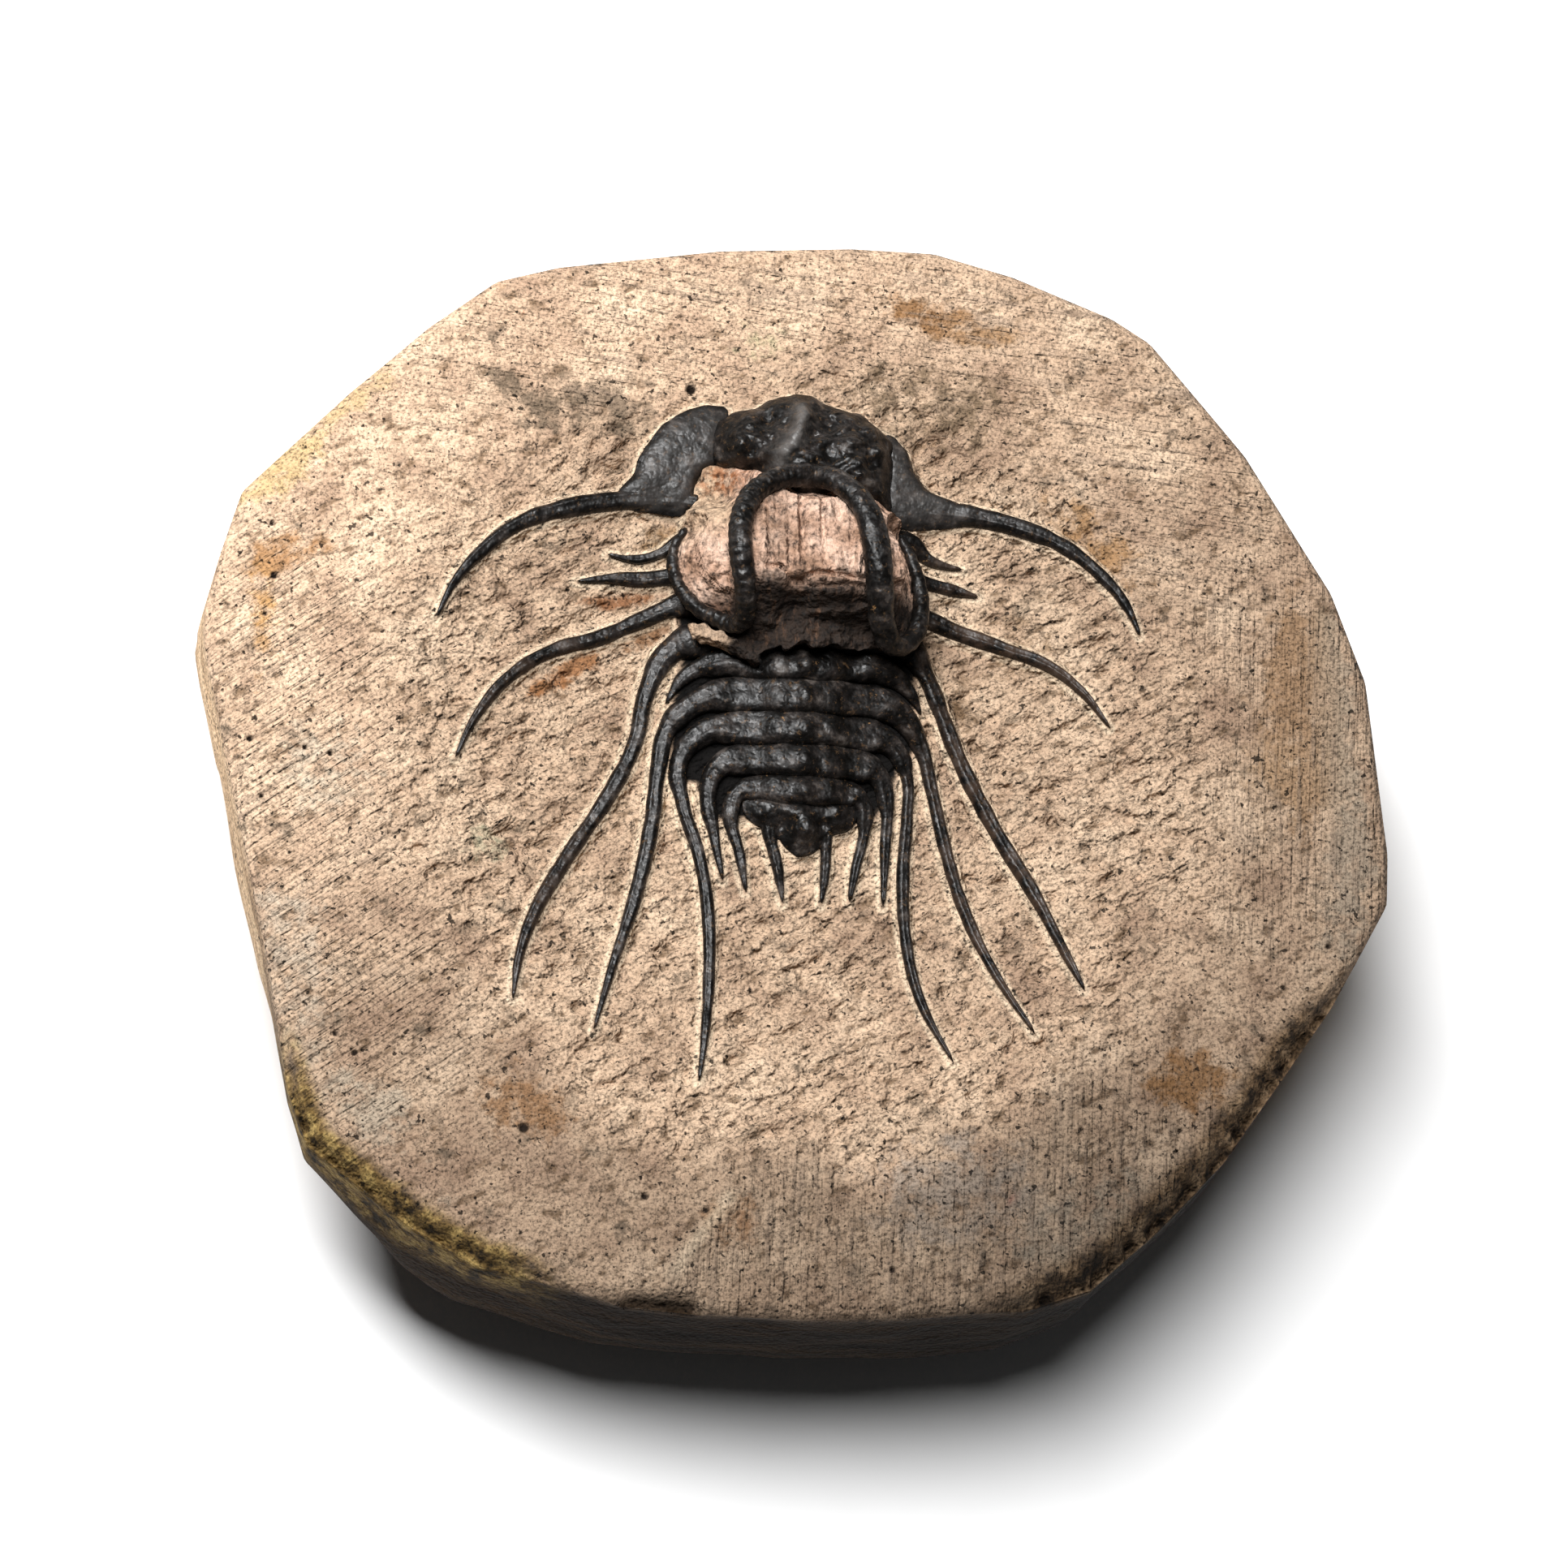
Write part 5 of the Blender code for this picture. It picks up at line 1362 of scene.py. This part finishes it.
chunk_points = dome_points(CHUNK_OUTLINE, CHUNK_MIDDLE, chunk_top, chunk_seat, sides=72, rings=12,
                           ragged=0.25)
chunk = wrap("chunk", chunk_points)
support = fuse("stone_between_horns", [stone, chunk], voxel=0.2, smoothing=1)
points = read_points(support)
broken = np.maximum(1.0 - smooth_step(15.5, 19.5, points[:, 1]), 0.25)
rough = broken * (0.45 * soft_noise(points / 1.3, 71) + 0.30 * soft_noise(points / 0.6, 72))
points += rough[:, None] * np.array([0.4, 0.6, 0.7])

# The horns lie in grooves in the stone, which never rises past their undersides
HORN_CLEARANCE = 0.1
GROOVE_FLARE = 1.3
GROOVE_REACH = 1.6
for run, breadth in ((left_horn_run, LEFT_HORN_BREADTH), (right_horn_run, RIGHT_HORN_BREADTH)):
    for horn_x, horn_y, horn_z, radius in run[4:-2]:
        from_middle = np.hypot((points[:, 0] - horn_x) / breadth, points[:, 1] - horn_y)
        away = from_middle - radius
        underside = np.sqrt(np.maximum(0.0, radius ** 2 - from_middle ** 2))
        limit = horn_z - HORN_CLEARANCE - underside + GROOVE_FLARE * np.maximum(0.0, away)
        points[:, 2] = np.where(away < GROOVE_REACH, np.minimum(points[:, 2], limit), points[:, 2])
points[:, 2] = np.minimum(points[:, 2], cad_high.z / MM - BOX_MARGIN)
write_points(support, points)

# Marks that the material reads: painted shade on the cliff, olive and cream places, and rust stains
x = points[:, 0]
y = points[:, 1]
# Painted shade on the broken cliff towards the tail, which faces away from the lamp; less on the round left
# part and the chunk
shaded = 1.0 - smooth_step(15.2, 19.8, y) - 0.45 * (1.0 - smooth_step(-9.5, -7.0, x))
on_chunk = 1.0 - smooth_step(0.7, 1.3, distance_to_run(x, y, *CHUNK_RUN)[0])
shaded = shaded - 0.4 * on_chunk * (1.0 - smooth_step(-9.5, -6.0, x))
mark(support, "shaded", np.clip(shaded, 0.0, 1.0))
mark(support, "olive", np.exp(-((x + 4.6) / 1.9) ** 2 - ((y - 23.4) / 3.4) ** 2))
cream = (1.0 - smooth_step(-9.5, -6.5, x)) * smooth_step(21.0, 27.0, y)
mark(support, "cream", np.maximum(cream, 0.8 * on_chunk))
mark(support, "dark_face", np.exp(-((x + 9.6) ** 2 + (y - 15.8) ** 2) / 1.3 ** 2))
upper_rust = np.exp(-((x + 8.6) / 3.0) ** 2 - ((y - 30.6) / 2.0) ** 2)
lower_rust = 0.7 * np.exp(-((x + 5.4) / 1.2) ** 2 - ((y - 27.2) / 2.0) ** 2)
mark(support, "rust", upper_rust + lower_rust)

# Pink limestone, scraped: matt, with tool lines along it and brown dust in its cracks. Its grains are
# under 0.1 mm, too fine to show, so they are drawn 0.7 to 1.1 mm wide. Lines have their real size.
pink_stone, tree = new_material("scraped_pink_limestone")
place = add(tree, "TexCoord").outputs["Object"]
line_place = add(tree, "Mapping", {"Vector": place, "Scale": (1.0, 0.22, 0.3)}).outputs[0]
patterns = {}
for name, where, size, detail, roughness in (
        ("clouds", place, 3.5, 6.0, 0.62),
        ("rust_spots", place, 1.0, 4.0, 0.65),
        ("dust_lines", line_place, 0.9, 5.0, 0.7),
        ("tool_lines", line_place, 0.9, 1.0, 0.5),
        ("chips", place, 0.7, 5.0, 0.7),
        ("flakes", place, 1.1, 2.0, 0.5)):
    patterns[name] = add(tree, "TexNoise", {"Vector": where, "Scale": PER_MM / size, "Detail": detail,
                                            "Roughness": roughness}).outputs[0]
marks = {}
for name in ("cream", "olive", "shaded", "dark_face", "rust"):
    marks[name] = add(tree, "Attribute", attribute_name=name).outputs["Fac"]
olive_edge = add(tree, "Math", {"Value": patterns["clouds"], "Value_001": 1.2, "Value_002": -0.25},
                 operation="MULTIPLY_ADD").outputs[0]
olive = add(tree, "Math", {"Value": marks["olive"], "Value_001": olive_edge},
            operation="MULTIPLY").outputs[0]
shade_edge = add(tree, "Math", {"Value": patterns["clouds"], "Value_001": 1.2, "Value_002": -0.6},
                 operation="MULTIPLY_ADD").outputs[0]
shade_sum = add(tree, "Math", {"Value": marks["shaded"], "Value_001": shade_edge},
                operation="ADD").outputs[0]
shaded = add(tree, "MapRange", {"Value": shade_sum, "From Min": 0.1, "From Max": 0.8,
                                "To Max": 0.99}).outputs[0]
rust_edge = add(tree, "MapRange", {"Value": patterns["rust_spots"], "From Min": 0.4,
                                   "From Max": 0.58}).outputs[0]
rust = add(tree, "Math", {"Value": marks["rust"], "Value_001": rust_edge},
           operation="MULTIPLY").outputs[0]
line_dust = add(tree, "MapRange", {"Value": patterns["dust_lines"], "From Min": 0.45, "From Max": 0.33,
                                   "To Max": 0.7}).outputs[0]
base = add(tree, "ValToRGB", {"Fac": patterns["clouds"]},
           stops=[(0.36, "#8F6F5A"), (0.5, "#BD9A84"), (0.64, "#D8B8A3")]).outputs[0]
# Over the pink: cream, olive, painted shade on the cliff, a dark face, rust and dust in the lines
for share, colour in (
        (marks["cream"], "#BFA488"), (olive, "#3F382A"), (shaded, "#20150D"),
        (marks["dark_face"], "#5A4030"), (rust, "#8A5128"), (line_dust, "#5E4330")):
    base = add(tree, "Mix", {"Factor_Float": share, "A_Color": base, "B_Color": linear(colour)},
               data_type="RGBA").outputs[2]
chip_tone = add(tree, "ValToRGB", {"Fac": patterns["chips"]},
                stops=[(0.34, 0.14), (0.44, 0.62), (0.55, 1.0), (0.68, 1.18)]).outputs[0]
base = add(tree, "Mix", {"Factor_Float": 1.0, "A_Color": base, "B_Color": chip_tone},
           data_type="RGBA", blend_type="MULTIPLY").outputs[2]
bump = add(tree, "Bump", {"Height": patterns["tool_lines"], "Strength": 0.9, "Distance": 0.8 * MM})
bump = add(tree, "Bump", {"Height": patterns["flakes"], "Strength": 0.9, "Distance": 1.2 * MM,
                          "Normal": bump.outputs[0]})
shader = add(tree, "BsdfPrincipled", {"Base Color": base, "Roughness": 0.85, "IOR": 1.5,
                                      "Specular IOR Level": 0.35, "Normal": bump.outputs[0]})
add(tree, "OutputMaterial", {"Surface": shader.outputs[0]})
support.data.materials.append(pink_stone)
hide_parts("horn_support_stone")
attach(support, "root")

# The floor is a plain table top of painted board, matt and almost white, that the block lies on.
# The paint is rolled on, so its tone wanders a little.

FLOOR_SIZE = 6.0
PAINT_PATTERN_PER_METRE = 60.0
bpy.ops.object.select_all(action="DESELECT")
bpy.ops.mesh.primitive_plane_add(size=FLOOR_SIZE)
floor = start_piece("floor")
paint, tree = new_material("matt_white_table_paint")
place = add(tree, "TexCoord").outputs["Object"]
rolled = add(tree, "TexNoise", {"Vector": place, "Scale": PAINT_PATTERN_PER_METRE, "Detail": 3.0})
tone = add(tree, "ValToRGB", {"Fac": rolled.outputs[0]},
           stops=[(0.3, "#EEEEEE"), (0.7, "#F2F2F2")]).outputs[0]
shader = add(tree, "BsdfPrincipled", {"Base Color": tone, "Roughness": 0.9, "Specular IOR Level": 0.2})
add(tree, "OutputMaterial", {"Surface": shader.outputs[0]})
floor.data.materials.append(paint)

# One soft oval lamp stands high at the upper left, longer across the light than along it. The room
# gives back a little even light, which fills the shadows.

LAMP_WAY = Vector((-0.30, 0.285, 0.91)).normalized()
LAMP_LONG_WAY = Vector((0.707, -0.707, 0.0))
LAMP_DISTANCE = 1.2
LAMP_SIZE = (1.13, 0.42)
LAMP_WATTS = 31.0
lamp_data = bpy.data.lights.new("soft_lamp", "AREA")
lamp_data.shape = "ELLIPSE"
lamp_data.size = LAMP_SIZE[0]
lamp_data.size_y = LAMP_SIZE[1]
lamp_data.energy = LAMP_WATTS
lamp = bpy.data.objects.new("soft_lamp", lamp_data)
bpy.context.scene.collection.objects.link(lamp)
lamp_long = (LAMP_LONG_WAY - LAMP_WAY * LAMP_LONG_WAY.dot(LAMP_WAY)).normalized()
lamp_turn = Matrix((lamp_long, LAMP_WAY.cross(lamp_long), LAMP_WAY)).transposed().to_4x4()
lamp.matrix_world = Matrix.Translation(LAMP_WAY * LAMP_DISTANCE) @ lamp_turn

ROOM_LIGHT = 0.03
world = bpy.data.worlds.new("studio")
world.use_nodes = True
room = world.node_tree.nodes["Background"]
room.inputs["Color"].default_value = (1.0, 1.0, 1.0, 1.0)
room.inputs["Strength"].default_value = ROOM_LIGHT
bpy.context.scene.world = world
bpy.context.scene.view_settings.view_transform = "Standard"

# The camera looks down on the face from the side of the tail, a little from the left. It stands far
# off, so the block is drawn with almost no perspective.

CAMERA_BACK = Vector((-0.165, -0.30, 0.9396)).normalized()
CAMERA_AIM = Vector((0.0, 0.0, 0.030))
CAMERA_DISTANCE = 0.9
MM_PER_PIXEL = 0.083
PICTURE = 1932.0
SENSOR_WIDTH = 36.0
AIM_PIXEL = (989.0, 949.0)
camera_data = bpy.data.cameras.new("camera")
camera = bpy.data.objects.new("camera", camera_data)
bpy.context.scene.collection.objects.link(camera)
up = (Vector((0.0, 1.0, 0.0)) - CAMERA_BACK * CAMERA_BACK.y).normalized()
right = up.cross(CAMERA_BACK).normalized()
turn = Matrix((right, up, CAMERA_BACK)).transposed().to_4x4()
camera.matrix_world = Matrix.Translation(CAMERA_AIM + CAMERA_BACK * CAMERA_DISTANCE) @ turn
camera_data.sensor_width = SENSOR_WIDTH
camera_data.lens = SENSOR_WIDTH * CAMERA_DISTANCE / (PICTURE * MM_PER_PIXEL * MM)
camera_data.shift_x = -(AIM_PIXEL[0] - PICTURE / 2) / PICTURE
camera_data.shift_y = (AIM_PIXEL[1] - PICTURE / 2) / PICTURE
camera_data.clip_start = 0.01
camera_data.clip_end = 20.0
bpy.context.scene.camera = camera
